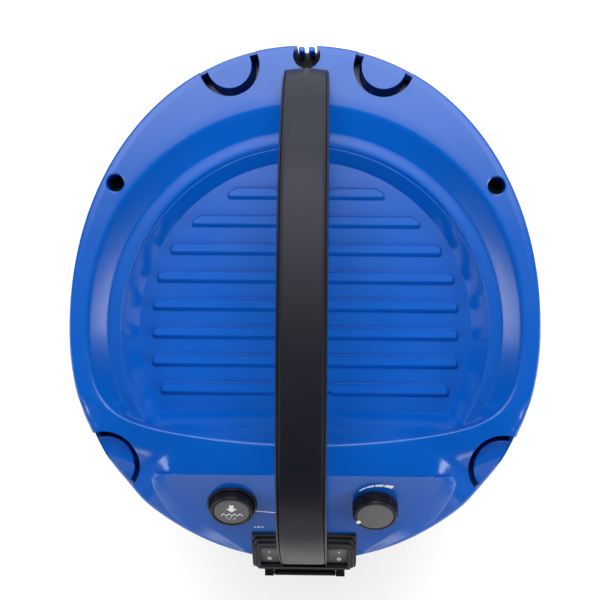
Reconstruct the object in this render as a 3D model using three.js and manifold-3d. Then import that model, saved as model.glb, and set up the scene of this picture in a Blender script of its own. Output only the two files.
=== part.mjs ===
// Shop vacuum: a round tank on a wheeled base, under an egg-shaped motor head with a carry handle.
// Millimetres, +Z up, -Y is the control panel side. Most pieces are drawn round the tank's axis, and the
// whole group is shifted at the end so that the model stands centred over its origin.

import * as THREE from 'three';
import { mergeVertices } from 'three/addons/utils/BufferGeometryUtils.js';
import Module from 'manifold-3d';

const wasm = await Module();
wasm.setup();

// ---------------------------------------------------------------- clearances
const GAP = 0.3;                    // between touching pieces
const RUNNING = 0.4;                // round a piece that turns or slides
const WALL = 3;                     // moulded plastic wall
const CUT = 40;                     // how far a cutter reaches past what it cuts

// ---------------------------------------------------------------- heights above the floor
const BASE_Z = 62;                  // underside of the base plate
const BASE_THICK = 10;
const DRUM_HEIGHT = 264;
const FLANGE_THICK = 5.4;
const SEAL_THICK = 3;
const COVER_HEIGHT = 82;            // skirt foot to deck
const HANDLE_RISE = 96;             // deck to the top of the handle

const DRUM_Z = BASE_Z + BASE_THICK + GAP;
const RIM_Z = DRUM_Z + DRUM_HEIGHT;
const SEAL_Z = RIM_Z + GAP;
const FLANGE_Z = SEAL_Z + SEAL_THICK + GAP;
const COVER_Z = FLANGE_Z + FLANGE_THICK + GAP;
const DECK_Z = COVER_Z + COVER_HEIGHT;

// ---------------------------------------------------------------- head cover, drawn from above
const HALF_WIDTH = 189.5;
const REAR_REACH = 227;
const FRONT_REACH = 197;
const REAR_POWER = 2.08;            // superellipse powers of the egg outline
const FRONT_POWER = 2.06;
const SKIRT_DRAFT = 4.5;
const COVE_RADIUS = 177.6;          // the round recess, from the deck down to the ledge
const LEDGE_RADIUS = 159.2;
const TRAY_TOP_RADIUS = 148.8;
const TRAY_FOOT_RADIUS = 136;
const LEDGE_DROP = 12;
const TRAY_DROP = 30;
const RIDGE_REACH = 96.8;           // the deck's front edge on the centre line
const RIDGE_BOW = 0.00088;          // how far that edge curves back to the sides, per mm
const RIDGE_BLEND = 48;             // length over which the edge runs into the egg outline
const STRIP_WIDTH = 3;              // rim strip beside the cove
const STRIP_BLEND = 20;
const TRAY_FRONT = 68;              // the tray floor's straight front edge
const LEDGE_FRONT = 83.5;           // the ledge's front edge, on the straight wall up to the ridge
const LEDGE_FRONT_BOW = 0.00036;
const HOOD_RUN = 21.9;              // gentle slope in front of the ridge
const HOOD_FALL = 0.3;
const CORNER_FALL = 0.85;           // the steeper front corners
const SKIRT_SEGMENTS = 72;

// ---------------------------------------------------------------- control panel
const PANEL_TILT = THREE.MathUtils.degToRad(44);
const PANEL_TOP_Y = -(RIDGE_REACH + HOOD_RUN);
const PANEL_TOP_Z = DECK_Z - HOOD_FALL * HOOD_RUN;
const PANEL_TOP_HALF = 112;
const PANEL_FOOT_HALF = 58;
const PANEL_FOOT_Y = -196;
const CONTROL_X = 58.4;             // button to the left, knob to the right of the handle
const CONTROL_V = -36;              // down the panel from its top edge
const BUTTON_RADIUS = 18;
const BUTTON_RISE = 9;
const BUTTON_SKIRT = 4;             // how far the cap reaches below the panel
const BUTTON_TRAVEL = 6;
const RING_WIDTH = 3.6;
const KNOB_RADIUS = 18.5;
const KNOB_HEIGHT = 15;
const BEZEL_HALF = 43;
const BEZEL_TOP_V = -81.5;
const BEZEL_FOOT_V = -113;
const BEZEL_RISE = 4;
const BEZEL_DEPTH = 8;
const BEZEL_LIP = 2;
const ROCKER_X = 29.2;
const ROCKER_WIDTH = 19.6;
const ROCKER_V = -97.3;
const ROCKER_RADIUS = 11.5;
const ROCKER_LEAN = 8;              // degrees each way

// ---------------------------------------------------------------- handle
const HANDLE_WIDTH = 38;
const HANDLE_CAP_WIDTH = 34;
const HANDLE_THICK = 29;
const HANDLE_CAP_THICK = 7;

// ---------------------------------------------------------------- tank and what hangs in it
const DRUM_TOP_RADIUS = 174;
const DRUM_FOOT_RADIUS = 160;
const RIM_RADIUS = 181;
const RIM_DEPTH = 8;
const BOWL_RADIUS = 128;
const BOWL_DEPTH = 78;
const INTAKE_RADIUS = 18;
const CAGE_RADIUS = 40;
const CAGE_DEPTH = 56;
const FLOAT_RADIUS = 22;
const FILTER_RADIUS = 100;
const FILTER_BORE = 74;
const FILTER_HEIGHT = 74;
const STUD_RADIUS = 6;
const NUT_RADIUS = 26;
const NUT_THICK = 14;
const PORT_RADIUS = 29;
const PORT_BORE = 24.5;
const PORT_DROP = 88;               // port axis below the rim
const PORT_REACH = 206;

// ---------------------------------------------------------------- running gear
const WHEEL_RADIUS = 55;
const WHEEL_WIDTH = 22;
const WHEEL_X = 172;
const WHEEL_Y = 97;
const AXLE_RADIUS = 5;
const CASTOR_RADIUS = 25;
const CASTOR_WIDTH = 20;
const CASTOR_TRAIL = 16;
const CASTOR_AXLE = 3;
const CASTOR_X = 92;
const CASTOR_Y = -96;

// ---------------------------------------------------------------- latches and socket
const LATCH_HALF = 22;
const LATCH_THICK = 6.5;
const LATCH_PIN_DROP = 40;          // hinge pin below the rim
const LATCH_TAIL = 12;              // below the pin, short enough to swing clear of the tank
const SOCKET_FRONT = 208;
const SOCKET_HALF = 34;
const SOCKET_HEIGHT = 38;
const FLAP_THICK = 4.7;

// ---------------------------------------------------------------- facets round a circle
const FINE = 44;
const ROUND = 26;
const SMALL = 16;

// ---------------------------------------------------------------- materials
const paint = (colour, roughness = 0.5, metalness = 0) =>
  new THREE.MeshStandardMaterial({ color: colour, roughness, metalness });
const BLUE = 0x1263c8;
const BLACK = 0x1b1a1e;
const GREY = 0x67606a;
const STEEL = 0xb9bcc0;
const RUBBER = 0x222224;

// ---------------------------------------------------------------- solids
function toSolid(geometry) {
  const bare = geometry.clone();
  bare.deleteAttribute('normal');
  bare.deleteAttribute('uv');
  const merged = mergeVertices(bare, 1e-4);
  const points = merged.getAttribute('position').array;
  const source = merged.getIndex().array;
  let triangles = [];
  for (let i = 0; i < source.length; i += 3) {
    const [a, b, c] = [source[i], source[i + 1], source[i + 2]];
    if (a !== b && b !== c && a !== c) triangles.push(a, b, c);
  }
  if (signedVolume(points, triangles) < 0) triangles = triangles.reverse();
  const vertProperties = new Float32Array(points);
  const triVerts = new Uint32Array(triangles);
  return new wasm.Manifold(new wasm.Mesh({ numProp: 3, vertProperties, triVerts }));
}

function signedVolume(points, triangles) {
  const corner = (i) => new THREE.Vector3(points[3 * i], points[3 * i + 1], points[3 * i + 2]);
  let sum = 0;
  for (let i = 0; i < triangles.length; i += 3) {
    const [a, b, c] = [corner(triangles[i]), corner(triangles[i + 1]), corner(triangles[i + 2])];
    sum += a.dot(b.cross(c));
  }
  return sum;
}

function toGeometry(solid) {
  const mesh = solid.getMesh();
  const geometry = new THREE.BufferGeometry();
  geometry.setAttribute('position', new THREE.BufferAttribute(mesh.vertProperties, 3));
  geometry.setIndex(new THREE.BufferAttribute(mesh.triVerts, 1));
  geometry.computeVertexNormals();
  return geometry;
}

// A box from its limits.
function block(x0, x1, y0, y1, z0, z1, matrix) {
  const geometry = new THREE.BoxGeometry(x1 - x0, y1 - y0, z1 - z0);
  geometry.translate((x0 + x1) / 2, (y0 + y1) / 2, (z0 + z1) / 2);
  return toSolid(matrix ? geometry.applyMatrix4(matrix) : geometry);
}

// A profile of [radius, height] points turned round +Z; it starts and ends on the axis or closes on itself.
function turned(profile, segments = FINE, matrix) {
  const points = profile.map(([r, z]) => new THREE.Vector2(r, z));
  const geometry = new THREE.LatheGeometry(points, segments);
  geometry.rotateX(Math.PI / 2);
  return toSolid(matrix ? geometry.applyMatrix4(matrix) : geometry);
}

function rod(radius, z0, z1, segments = ROUND, matrix) {
  return turned([[0, z0], [radius, z0], [radius, z1], [0, z1]], segments, matrix);
}

function ring(inner, outer, z0, z1, segments = FINE, matrix) {
  const profile = [[inner, z0], [outer, z0], [outer, z1], [inner, z1], [inner, z0]];
  return turned(profile, segments, matrix);
}

// An outline of [a, b] points pushed along the third direction from d0 to d1.
function pushed(outline, d0, d1, matrix) {
  const shape = new THREE.Shape(outline.map(([a, b]) => new THREE.Vector2(a, b)));
  const geometry = new THREE.ExtrudeGeometry(shape, { depth: d1 - d0, bevelEnabled: false });
  geometry.translate(0, 0, d0);
  return toSolid(matrix ? geometry.applyMatrix4(matrix) : geometry);
}

// Rings of equally many points, closed by a point below the first and one above the last.
function lofted(rings, bottom, top) {
  const count = rings[0].length;
  const positions = [...rings.flat(2), ...bottom, ...top];
  const index = [];
  const at = (k, i) => k * count + (i % count);
  const bottomAt = rings.length * count;
  for (let i = 0; i < count; i += 1) {
    index.push(bottomAt, at(0, i + 1), at(0, i));
    for (let k = 0; k + 1 < rings.length; k += 1) {
      index.push(at(k, i), at(k, i + 1), at(k + 1, i + 1));
      index.push(at(k, i), at(k + 1, i + 1), at(k + 1, i));
    }
    index.push(bottomAt + 1, at(rings.length - 1, i), at(rings.length - 1, i + 1));
  }
  const geometry = new THREE.BufferGeometry();
  geometry.setAttribute('position', new THREE.Float32BufferAttribute(positions, 3));
  geometry.setIndex(index);
  return toSolid(geometry);
}

// Frames: the third direction of a pushed or turned solid is laid along the named direction.
const shift = (x, y, z) => new THREE.Matrix4().makeTranslation(x, y, z);
const axis = {
  x: new THREE.Vector3(1, 0, 0),
  y: new THREE.Vector3(0, 1, 0),
  z: new THREE.Vector3(0, 0, 1),
};
const alongX = new THREE.Matrix4().makeBasis(axis.y, axis.z, axis.x);
const alongY = new THREE.Matrix4().makeBasis(axis.z, axis.x, axis.y);
const panelUp = new THREE.Vector3(0, Math.cos(PANEL_TILT), Math.sin(PANEL_TILT));
const panelOut = new THREE.Vector3(0, -Math.sin(PANEL_TILT), Math.cos(PANEL_TILT));
const panelFrame = new THREE.Matrix4().makeBasis(axis.x, panelUp, panelOut)
  .premultiply(shift(0, PANEL_TOP_Y, PANEL_TOP_Z));
const onPanel = (u, v, n) => panelFrame.clone().multiply(shift(u, v, n));

const vacuum = new THREE.Group();

function addPiece(name, solid, material) {
  const mesh = new THREE.Mesh(toGeometry(solid), material);
  mesh.name = name;
  vacuum.add(mesh);
}

// ---------------------------------------------------------------- egg outline and head shape
function eggRadius(angle, inset = 0) {
  const power = Math.sin(angle) >= 0 ? REAR_POWER : FRONT_POWER;
  const reach = (Math.sin(angle) >= 0 ? REAR_REACH : FRONT_REACH) - inset;
  const side = Math.abs(Math.cos(angle)) / (HALF_WIDTH - inset);
  const front = Math.abs(Math.sin(angle)) / reach;
  return (side ** power + front ** power) ** (-1 / power);
}

function smoothMin(a, b, width) {
  const share = Math.max(width - Math.abs(a - b), 0) / width;
  return Math.min(a, b) - share * share * width / 4;
}

// Distance from the axis to the line y = -(reach - bow x^2), or far away behind the axis.
function frontLine(angle, reach, bow) {
  const along = -Math.sin(angle);
  if (along <= 0) return 4 * reach;
  const across = bow * Math.cos(angle) ** 2;
  if (across < 1e-9) return reach / along;
  return (Math.sqrt(along * along + 4 * across * reach) - along) / (2 * across);
}

// The cover's outer surface along one direction, from the skirt's foot to the tray: [radius, height].
function headProfile(angle, inset) {
  const edge = eggRadius(angle) - SKIRT_DRAFT;
  const ridge = smoothMin(edge, frontLine(angle, RIDGE_REACH, RIDGE_BOW), RIDGE_BLEND);
  const run = Math.max(edge - ridge, 0);
  const hood = Math.min(run, HOOD_RUN);
  const cove = smoothMin(COVE_RADIUS, ridge - STRIP_WIDTH, STRIP_BLEND);
  const ledge = frontLine(angle, LEDGE_FRONT, LEDGE_FRONT_BOW);
  const ledgeOut = Math.min(LEDGE_RADIUS, ledge, cove - 1);
  const ledgeIn = Math.min(TRAY_TOP_RADIUS, ledgeOut - 1);
  const floor = Math.min(TRAY_FOOT_RADIUS, frontLine(angle, TRAY_FRONT, 0), ledgeIn - 1);
  const deck = COVER_HEIGHT;
  const knee = deck - HOOD_FALL * hood;
  const cornerEnd = knee - CORNER_FALL * (run - hood);
  return [
    [eggRadius(angle) - inset, 0],
    [edge + 3 - inset, cornerEnd - 6 - inset / 2],
    [edge + 1 - inset, cornerEnd - 1 - inset],
    [ridge + hood + (run > hood ? 0 : 0.4) - inset / 2, knee - inset],
    [ridge - inset / 2, deck - inset],
    [cove + inset / 2, deck - inset],
    [ledgeOut + inset / 2, deck - LEDGE_DROP - inset],
    [ledgeIn + inset / 2, deck - LEDGE_DROP - inset],
    [floor + inset / 2, deck - TRAY_DROP - inset],
  ];
}

// The whole head as one solid, moved inwards by inset, with its foot at COVER_Z + foot.
function headSolid(inset, foot) {
  const angles = [];
  for (let i = 0; i < SKIRT_SEGMENTS; i += 1) angles.push((i / SKIRT_SEGMENTS) * 2 * Math.PI);
  const profiles = angles.map((angle) => headProfile(angle, inset));
  const rings = profiles[0].map((unused, k) => angles.map((angle, i) => {
    const [radius, height] = profiles[i][k];
    const z = k === 0 ? foot : height;
    return [radius * Math.cos(angle), radius * Math.sin(angle), COVER_Z + z];
  }));
  const floorZ = DECK_Z - TRAY_DROP - inset;
  return lofted(rings, [0, 0, COVER_Z + foot], [0, 0, floorZ]);
}

// The control panel replaces the head's front surface over this footprint.
function panelPrism(inset, n0, n1) {
  const top = PANEL_TOP_Y - inset / 2;
  const foot = PANEL_FOOT_Y - CUT;
  const slope = (PANEL_TOP_HALF - PANEL_FOOT_HALF) / (PANEL_TOP_Y - PANEL_FOOT_Y);
  const footHalf = PANEL_FOOT_HALF - slope * CUT;
  const outline = [
    [-PANEL_TOP_HALF + inset, top],
    [-footHalf + inset, foot],
    [footHalf - inset, foot],
    [PANEL_TOP_HALF - inset, top],
  ];
  const prism = pushed(outline, COVER_Z - CUT, DECK_Z + CUT);
  const slab = block(-HALF_WIDTH, HALF_WIDTH, -4 * CUT, CUT, n0, n1, panelFrame);
  return prism.intersect(slab);
}

function headBody(inset, foot) {
  const body = headSolid(inset, foot).subtract(panelPrism(inset, -inset, 2 * CUT));
  const egg = eggPrism(inset + 1, COVER_Z + foot, DECK_Z - inset);
  const island = panelPrism(inset, -2 * CUT, -inset).intersect(egg);
  return body.add(island);
}

function eggPrism(inset, z0, z1) {
  const outline = [];
  for (let i = 0; i < SKIRT_SEGMENTS; i += 1) {
    const angle = (i / SKIRT_SEGMENTS) * 2 * Math.PI;
    const radius = eggRadius(angle, inset);
    outline.push([radius * Math.cos(angle), radius * Math.sin(angle)]);
  }
  return pushed(outline, z0, z1);
}

// ---------------------------------------------------------------- head cover
const REAR_POCKET = { x: 62, y: 209.6, radius: 24.4, boss: 18, depth: 14, sink: 0 };
const FRONT_POCKET = { x: 160.4, y: -112, radius: 27.2, boss: 22.4, depth: 42, sink: 22 };
const SCREW_X = 153.5;
const SCREW_Y = 115;
const SCREW_HOLE = 7;
const SCREW_POST = 10;
const SCREW_SEAT = 12;              // floor of the screw hole above the skirt foot
const RIB_COUNT = 8;
const RIB_FIRST_Y = 109.3;
const RIB_PITCH = 22.8;
const RIB_HALF_WIDTH = 5.2;
const RIB_RISE = 3.5;
const RIB_END_RADIUS = 125.6;
const NOTCH_HALF = 10.5;
const NOTCH_Y = 207.5;
const NOTCH_DEPTH = 22;
const LATCH_WELL = 12;              // height of the latches' wells in the skirt
const SCREW_BORE = 3;
const SPINDLE_HOLE = 4;             // for the knob's spindle
const GLAND_X = 62;
const GLAND_Z = COVER_Z + 26;
const GLAND_RADIUS = 8;

function pocketRing(pocket, side) {
  const gap = ring(pocket.boss, pocket.radius, DECK_Z - pocket.depth, DECK_Z + CUT, ROUND);
  return gap.translate(side * pocket.x, pocket.y, 0);
}

function pocketSink(pocket, side) {
  const hollow = rod(pocket.radius, DECK_Z - pocket.sink, DECK_Z + CUT, ROUND);
  return hollow.translate(side * pocket.x, pocket.y, 0);
}

function headCavity() {
  let cavity = headBody(WALL, -CUT);
  for (const side of [-1, 1]) {
    for (const pocket of [REAR_POCKET, FRONT_POCKET]) {
      const keep = rod(pocket.radius + WALL, DECK_Z - pocket.depth - WALL, DECK_Z, ROUND);
      cavity = cavity.subtract(keep.translate(side * pocket.x, pocket.y, 0));
    }
    const post = rod(SCREW_POST, COVER_Z, DECK_Z, SMALL).translate(side * SCREW_X, SCREW_Y, 0);
    cavity = cavity.subtract(post);
  }
  const notchHalf = NOTCH_HALF + WALL;
  const notchFloor = DECK_Z - NOTCH_DEPTH - WALL - 1;
  return cavity.subtract(block(-notchHalf, notchHalf, NOTCH_Y - WALL, REAR_REACH + CUT, notchFloor, DECK_Z));
}

function trayRib(index) {
  const y = RIB_FIRST_Y - RIB_PITCH * index;
  const rear = Math.abs(y) + RIB_HALF_WIDTH;
  const half = Math.sqrt(Math.max(RIB_END_RADIUS ** 2 - rear ** 2, 0)) + RIB_HALF_WIDTH;
  const z = DECK_Z - TRAY_DROP;
  return block(-half, half, y - RIB_HALF_WIDTH, y + RIB_HALF_WIDTH, z - 1, z + RIB_RISE);
}

function headCover() {
  let cover = headBody(0, 0).subtract(headCavity());
  for (let i = 0; i < RIB_COUNT; i += 1) cover = cover.add(trayRib(i));
  for (const side of [-1, 1]) {
    cover = cover.subtract(pocketRing(REAR_POCKET, side)).subtract(pocketRing(FRONT_POCKET, side));
    cover = cover.subtract(pocketSink(FRONT_POCKET, side));
    const hole = rod(SCREW_HOLE, COVER_Z + SCREW_SEAT, DECK_Z + CUT, SMALL);
    const bore = rod(SCREW_BORE, COVER_Z - 1, DECK_Z, SMALL);
    cover = cover.subtract(hole.add(bore).translate(side * SCREW_X, SCREW_Y, 0));
    const wellHalf = LATCH_HALF + 2;
    const latchWell = block(RIM_RADIUS - RIM_DEPTH, HALF_WIDTH + CUT, -wellHalf, wellHalf,
      COVER_Z - 1, COVER_Z + LATCH_WELL);
    cover = cover.subtract(side > 0 ? latchWell : latchWell.mirror([1, 0, 0]));
    const hub = side < 0 ? BUTTON_RADIUS + RUNNING : SPINDLE_HOLE;
    cover = cover.subtract(rod(hub, -CUT, CUT / 4, ROUND, onPanel(side * CONTROL_X, CONTROL_V, 0)));
  }
  cover = cover.subtract(block(-NOTCH_HALF, NOTCH_HALF, NOTCH_Y, REAR_REACH + CUT,
    DECK_Z - NOTCH_DEPTH, DECK_Z + CUT));
  cover = cover.subtract(rod(GLAND_RADIUS + GAP, REAR_REACH - 30, REAR_REACH + CUT, SMALL, alongY)
    .translate(GLAND_X, 0, GLAND_Z));
  cover = cover.subtract(block(-BEZEL_HALF + BEZEL_LIP - GAP, BEZEL_HALF - BEZEL_LIP + GAP,
    BEZEL_FOOT_V - CUT, BEZEL_TOP_V - BEZEL_LIP + GAP, -CUT, CUT / 4, panelFrame));
  return cover;
}

// ---------------------------------------------------------------- lower head housing
const BOWL_TOP = COVER_Z - GAP;
const BOWL_Z = FLANGE_Z - BOWL_DEPTH;
const BOWL_FLOOR = 4;
const FLANGE_INSET = 4;
const TONGUE_Y0 = RIM_RADIUS + 2.5;
const TONGUE_THICK = 4;
const TONGUE_HALF = 47;

function headHousing() {
  let housing = eggPrism(FLANGE_INSET, FLANGE_Z, BOWL_TOP);
  housing = housing.add(rod(BOWL_RADIUS, BOWL_Z, FLANGE_Z + 1, FINE));
  housing = housing.subtract(rod(BOWL_RADIUS - WALL, BOWL_Z + BOWL_FLOOR, COVER_Z + 1, FINE));
  housing = housing.subtract(rod(INTAKE_RADIUS, BOWL_Z - 1, BOWL_Z + BOWL_FLOOR + 1, ROUND));
  const tongueFront = -TONGUE_Y0 - TONGUE_THICK;
  housing = housing.subtract(block(-BEZEL_HALF - 1, BEZEL_HALF + 1, -FRONT_REACH - 1, tongueFront,
    FLANGE_Z - 1, COVER_Z + 1));
  housing = housing.add(block(-TONGUE_HALF, TONGUE_HALF, tongueFront, -TONGUE_Y0,
    FLANGE_Z - SOCKET_HEIGHT, FLANGE_Z + 1));
  const bezelHalf = BEZEL_HALF - BEZEL_LIP + GAP;
  housing = housing.subtract(block(-bezelHalf, bezelHalf, BEZEL_FOOT_V - CUT, BEZEL_TOP_V,
    -BEZEL_DEPTH - GAP, CUT / 4, panelFrame));
  for (const side of [-1, 1]) {
    const well = block(RIM_RADIUS + GAP, HALF_WIDTH + CUT, -LATCH_HALF - 2, LATCH_HALF + 2,
      FLANGE_Z - 1, COVER_Z + 1);
    housing = housing.subtract(side > 0 ? well : well.mirror([1, 0, 0]));
    const bore = rod(SCREW_BORE, FLANGE_Z - 1, COVER_Z + 1, SMALL);
    housing = housing.subtract(bore.translate(side * SCREW_X, SCREW_Y, 0));
  }
  return housing;
}

function coverScrew(side) {
  const z = COVER_Z + SCREW_SEAT + GAP;
  const headTop = z + 4.5;
  const screw = rod(6, z, headTop, SMALL).add(rod(SCREW_BORE - 0.6, FLANGE_Z - 2, z + 1, SMALL));
  const slot = block(-0.8, 0.8, -4, 4, headTop - 2, headTop + 1);
  const drive = slot.add(slot.rotate([0, 0, 90]));
  return screw.subtract(drive).translate(side * SCREW_X, SCREW_Y, 0);
}

// ---------------------------------------------------------------- handle
const HANDLE_STEPS = 30;

function handleCurve() {
  const crown = DECK_Z + HANDLE_RISE;
  const points = [
    [-200.5, DECK_Z - 84], [-192, DECK_Z - 28], [-163, DECK_Z + 44], [-105, crown - 13], [0, crown],
    [105, crown - 9], [165, crown - 38], [198, crown - 72], [209.5, DECK_Z - 4],
  ];
  return new THREE.SplineCurve(points.map(([y, z]) => new THREE.Vector2(y, z)));
}

// The arch between two depths under its top line, as wide as asked.
function handleArch(depth0, depth1, width) {
  const curve = handleCurve();
  const upper = [];
  const lower = [];
  for (let i = 0; i <= HANDLE_STEPS; i += 1) {
    const point = curve.getPoint(i / HANDLE_STEPS);
    const tangent = curve.getTangent(i / HANDLE_STEPS);
    upper.push([point.x + tangent.y * depth0, point.y - tangent.x * depth0]);
    lower.push([point.x + tangent.y * depth1, point.y - tangent.x * depth1]);
  }
  return pushed([...upper, ...lower.reverse()], -width / 2, width / 2, alongX);
}

function handleTrim() {
  const head = headBody(-GAP, -2 * CUT);
  const bezel = block(-BEZEL_HALF, BEZEL_HALF, BEZEL_FOOT_V - CUT, BEZEL_TOP_V + GAP, -2 * CUT,
    BEZEL_RISE + GAP, panelFrame);
  return head.add(bezel).add(block(-CUT, CUT, -FRONT_REACH - CUT, 0, COVER_Z - 2 * CUT, COVER_Z - 1));
}

// ---------------------------------------------------------------- controls
const GUIDE_FLOOR = -BUTTON_SKIRT - BUTTON_TRAVEL - 8;
const PUSH_ROD = 4;                 // radius of the rod under the button
const SPINDLE_RADIUS = 3;
const SPINDLE_DEPTH = 15;

// A cap with a dished face and a skirt, and the rod that pushes the air valve open.
function filterButton() {
  const face = BUTTON_RISE - 0.8;
  const dish = BUTTON_RADIUS - 4;
  const inner = BUTTON_RADIUS - 2.5;
  const under = BUTTON_RISE - 3.5;
  const tip = GUIDE_FLOOR - 3;
  const profile = [
    [0, face], [dish, face], [dish + 1.4, BUTTON_RISE], [BUTTON_RADIUS - 0.8, BUTTON_RISE],
    [BUTTON_RADIUS, BUTTON_RISE - 1], [BUTTON_RADIUS, -BUTTON_SKIRT], [inner, -BUTTON_SKIRT],
    [inner, under], [PUSH_ROD, under], [PUSH_ROD, tip], [0, tip],
  ];
  return turned(profile, ROUND, onPanel(-CONTROL_X, CONTROL_V, 0));
}

function buttonRing() {
  const outer = BUTTON_RADIUS + RUNNING + RING_WIDTH;
  const inner = BUTTON_RADIUS + RUNNING;
  const profile = [[inner, GAP], [outer, GAP], [outer, 2.6], [outer - 1.2, 3.6], [inner, 3.6], [inner, GAP]];
  return turned(profile, ROUND, onPanel(-CONTROL_X, CONTROL_V, 0));
}

function valveGuide() {
  const inner = BUTTON_RADIUS + 1.4;
  const top = -WALL - GAP;
  const outer = inner + 2.4;
  const hole = PUSH_ROD + RUNNING;
  const profile = [[inner, top], [outer, top], [outer, GUIDE_FLOOR], [hole, GUIDE_FLOOR],
    [hole, GUIDE_FLOOR + WALL], [inner, GUIDE_FLOOR + WALL], [inner, top]];
  return turned(profile, ROUND, onPanel(-CONTROL_X, CONTROL_V, 0));
}

function powerKnob() {
  const grip = 20;
  const outline = [];
  for (let i = 0; i < 2 * grip; i += 1) {
    const radius = KNOB_RADIUS - (i % 2 ? 0.8 : 0);
    const angle = (i / (2 * grip)) * 2 * Math.PI;
    outline.push([radius * Math.cos(angle), radius * Math.sin(angle)]);
  }
  let knob = pushed(outline, 0.6, KNOB_HEIGHT - 2);
  const side = KNOB_RADIUS - 1;
  const face = KNOB_HEIGHT - 0.6;
  const crown = [[0, 2], [side, 2], [side, KNOB_HEIGHT - 1.4], [side - 1.4, KNOB_HEIGHT],
    [side - 3, KNOB_HEIGHT], [side - 3.6, face], [0, face]];
  knob = knob.add(turned(crown, ROUND));
  knob = knob.add(rod(SPINDLE_RADIUS, -SPINDLE_DEPTH, 3, SMALL));
  return knob.transform(onPanel(CONTROL_X, CONTROL_V, 0).elements);
}

function speedControl() {
  const top = -WALL - GAP;
  const hole = rod(SPINDLE_RADIUS + RUNNING, -SPINDLE_DEPTH - 1, top + 1, SMALL);
  const body = rod(12, -SPINDLE_DEPTH - 3, top, ROUND).subtract(hole);
  const legs = block(-6, 6, 11, 15, -SPINDLE_DEPTH - 2, -SPINDLE_DEPTH + 1);
  return body.add(legs).transform(onPanel(CONTROL_X, CONTROL_V, 0).elements);
}

// ---------------------------------------------------------------- rocker switches
const PIVOT_N = BEZEL_RISE - 4.5;
const PIVOT_RADIUS = 2;
const PIVOT_LENGTH = 1.2;
const ROCKER_DIP = 3.6;

function switchBezel() {
  const inner = BEZEL_HALF - BEZEL_LIP;
  let bezel = block(-BEZEL_HALF, BEZEL_HALF, BEZEL_FOOT_V, BEZEL_TOP_V, GAP, BEZEL_RISE);
  bezel = bezel.add(block(-inner, inner, BEZEL_FOOT_V + BEZEL_LIP, BEZEL_TOP_V - BEZEL_LIP, -BEZEL_DEPTH, 1));
  const halfU = ROCKER_WIDTH / 2 + RUNNING;
  const halfV = ROCKER_RADIUS + RUNNING;
  for (const side of [-1, 1]) {
    const u = side * ROCKER_X;
    bezel = bezel.subtract(block(u - halfU, u + halfU, ROCKER_V - halfV, ROCKER_V + halfV, -CUT, CUT));
    const pivot = halfU + PIVOT_LENGTH + GAP;
    const bore = rod(PIVOT_RADIUS + RUNNING, -pivot, pivot, SMALL, alongX);
    bezel = bezel.subtract(bore.translate(u, ROCKER_V, PIVOT_N));
  }
  return bezel.transform(panelFrame.elements);
}

// The rocker's side view: two round ends, with a shallow dip between them on top.
function rocker(side) {
  const rad = THREE.MathUtils.degToRad;
  const outline = [];
  const addArc = (from, to) => {
    for (let a = from; a <= to; a += 8) {
      outline.push([ROCKER_RADIUS * Math.cos(rad(a)), ROCKER_RADIUS * Math.sin(rad(a))]);
    }
  };
  const corner = 26;
  addArc(-30, corner);
  outline.push([0, ROCKER_DIP]);
  addArc(180 - corner, 210);
  const half = ROCKER_WIDTH / 2;
  let body = pushed(outline, -half, half, alongX);
  const reach = half + PIVOT_LENGTH;
  body = body.add(rod(PIVOT_RADIUS, -reach, reach, SMALL, alongX));
  const lean = new THREE.Matrix4().makeRotationX(rad(ROCKER_LEAN));
  return body.transform(onPanel(side * ROCKER_X, ROCKER_V, PIVOT_N).multiply(lean).elements);
}

// ---------------------------------------------------------------- tool socket under the switches
const SOCKET_Z1 = FLANGE_Z - 11;
const SOCKET_Z0 = SOCKET_Z1 - SOCKET_HEIGHT;
const SOCKET_BACK = TONGUE_Y0 + TONGUE_THICK + GAP;
const FLAP_PIN_RADIUS = 1.1;
const FLAP_PIN_Z = SOCKET_Z1 - 4;
const FLAP_PIN_Y = -SOCKET_FRONT - GAP - FLAP_THICK / 2;
const FLAP_HALF = SOCKET_HALF - 8;

function socketHousing() {
  let housing = block(-SOCKET_HALF, SOCKET_HALF, -SOCKET_FRONT, -SOCKET_BACK, SOCKET_Z0, SOCKET_Z1);
  const centre = (SOCKET_Z0 + FLAP_PIN_Z) / 2 - 1;
  const recess = rod(14.5, SOCKET_BACK + 4, SOCKET_FRONT + 1, ROUND, alongY).mirror([0, 1, 0]);
  housing = housing.subtract(recess.translate(0, 0, centre));
  for (const side of [-1, 1]) {
    const near = side > 0 ? FLAP_HALF + RUNNING : -SOCKET_HALF;
    const far = side > 0 ? SOCKET_HALF : -FLAP_HALF - RUNNING;
    const cheek = block(near, far, -SOCKET_FRONT - FLAP_THICK - GAP, -SOCKET_FRONT + 1,
      FLAP_PIN_Z - 4, SOCKET_Z1);
    housing = housing.add(cheek);
  }
  const bore = rod(FLAP_PIN_RADIUS + GAP, -SOCKET_HALF + 3, SOCKET_HALF + 1, SMALL, alongX);
  return housing.subtract(bore.translate(0, FLAP_PIN_Y, FLAP_PIN_Z));
}

function socketFlap() {
  const y1 = -SOCKET_FRONT - GAP;
  const y0 = y1 - FLAP_THICK;
  let flap = block(-FLAP_HALF, FLAP_HALF, y0, y1, SOCKET_Z0 + 1, FLAP_PIN_Z);
  const barrel = rod((y1 - y0) / 2, -FLAP_HALF, FLAP_HALF, SMALL, alongX);
  flap = flap.add(barrel.translate(0, (y0 + y1) / 2, FLAP_PIN_Z));
  const bore = rod(FLAP_PIN_RADIUS + GAP, -SOCKET_HALF, SOCKET_HALF, SMALL, alongX);
  return flap.subtract(bore.translate(0, FLAP_PIN_Y, FLAP_PIN_Z));
}

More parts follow.
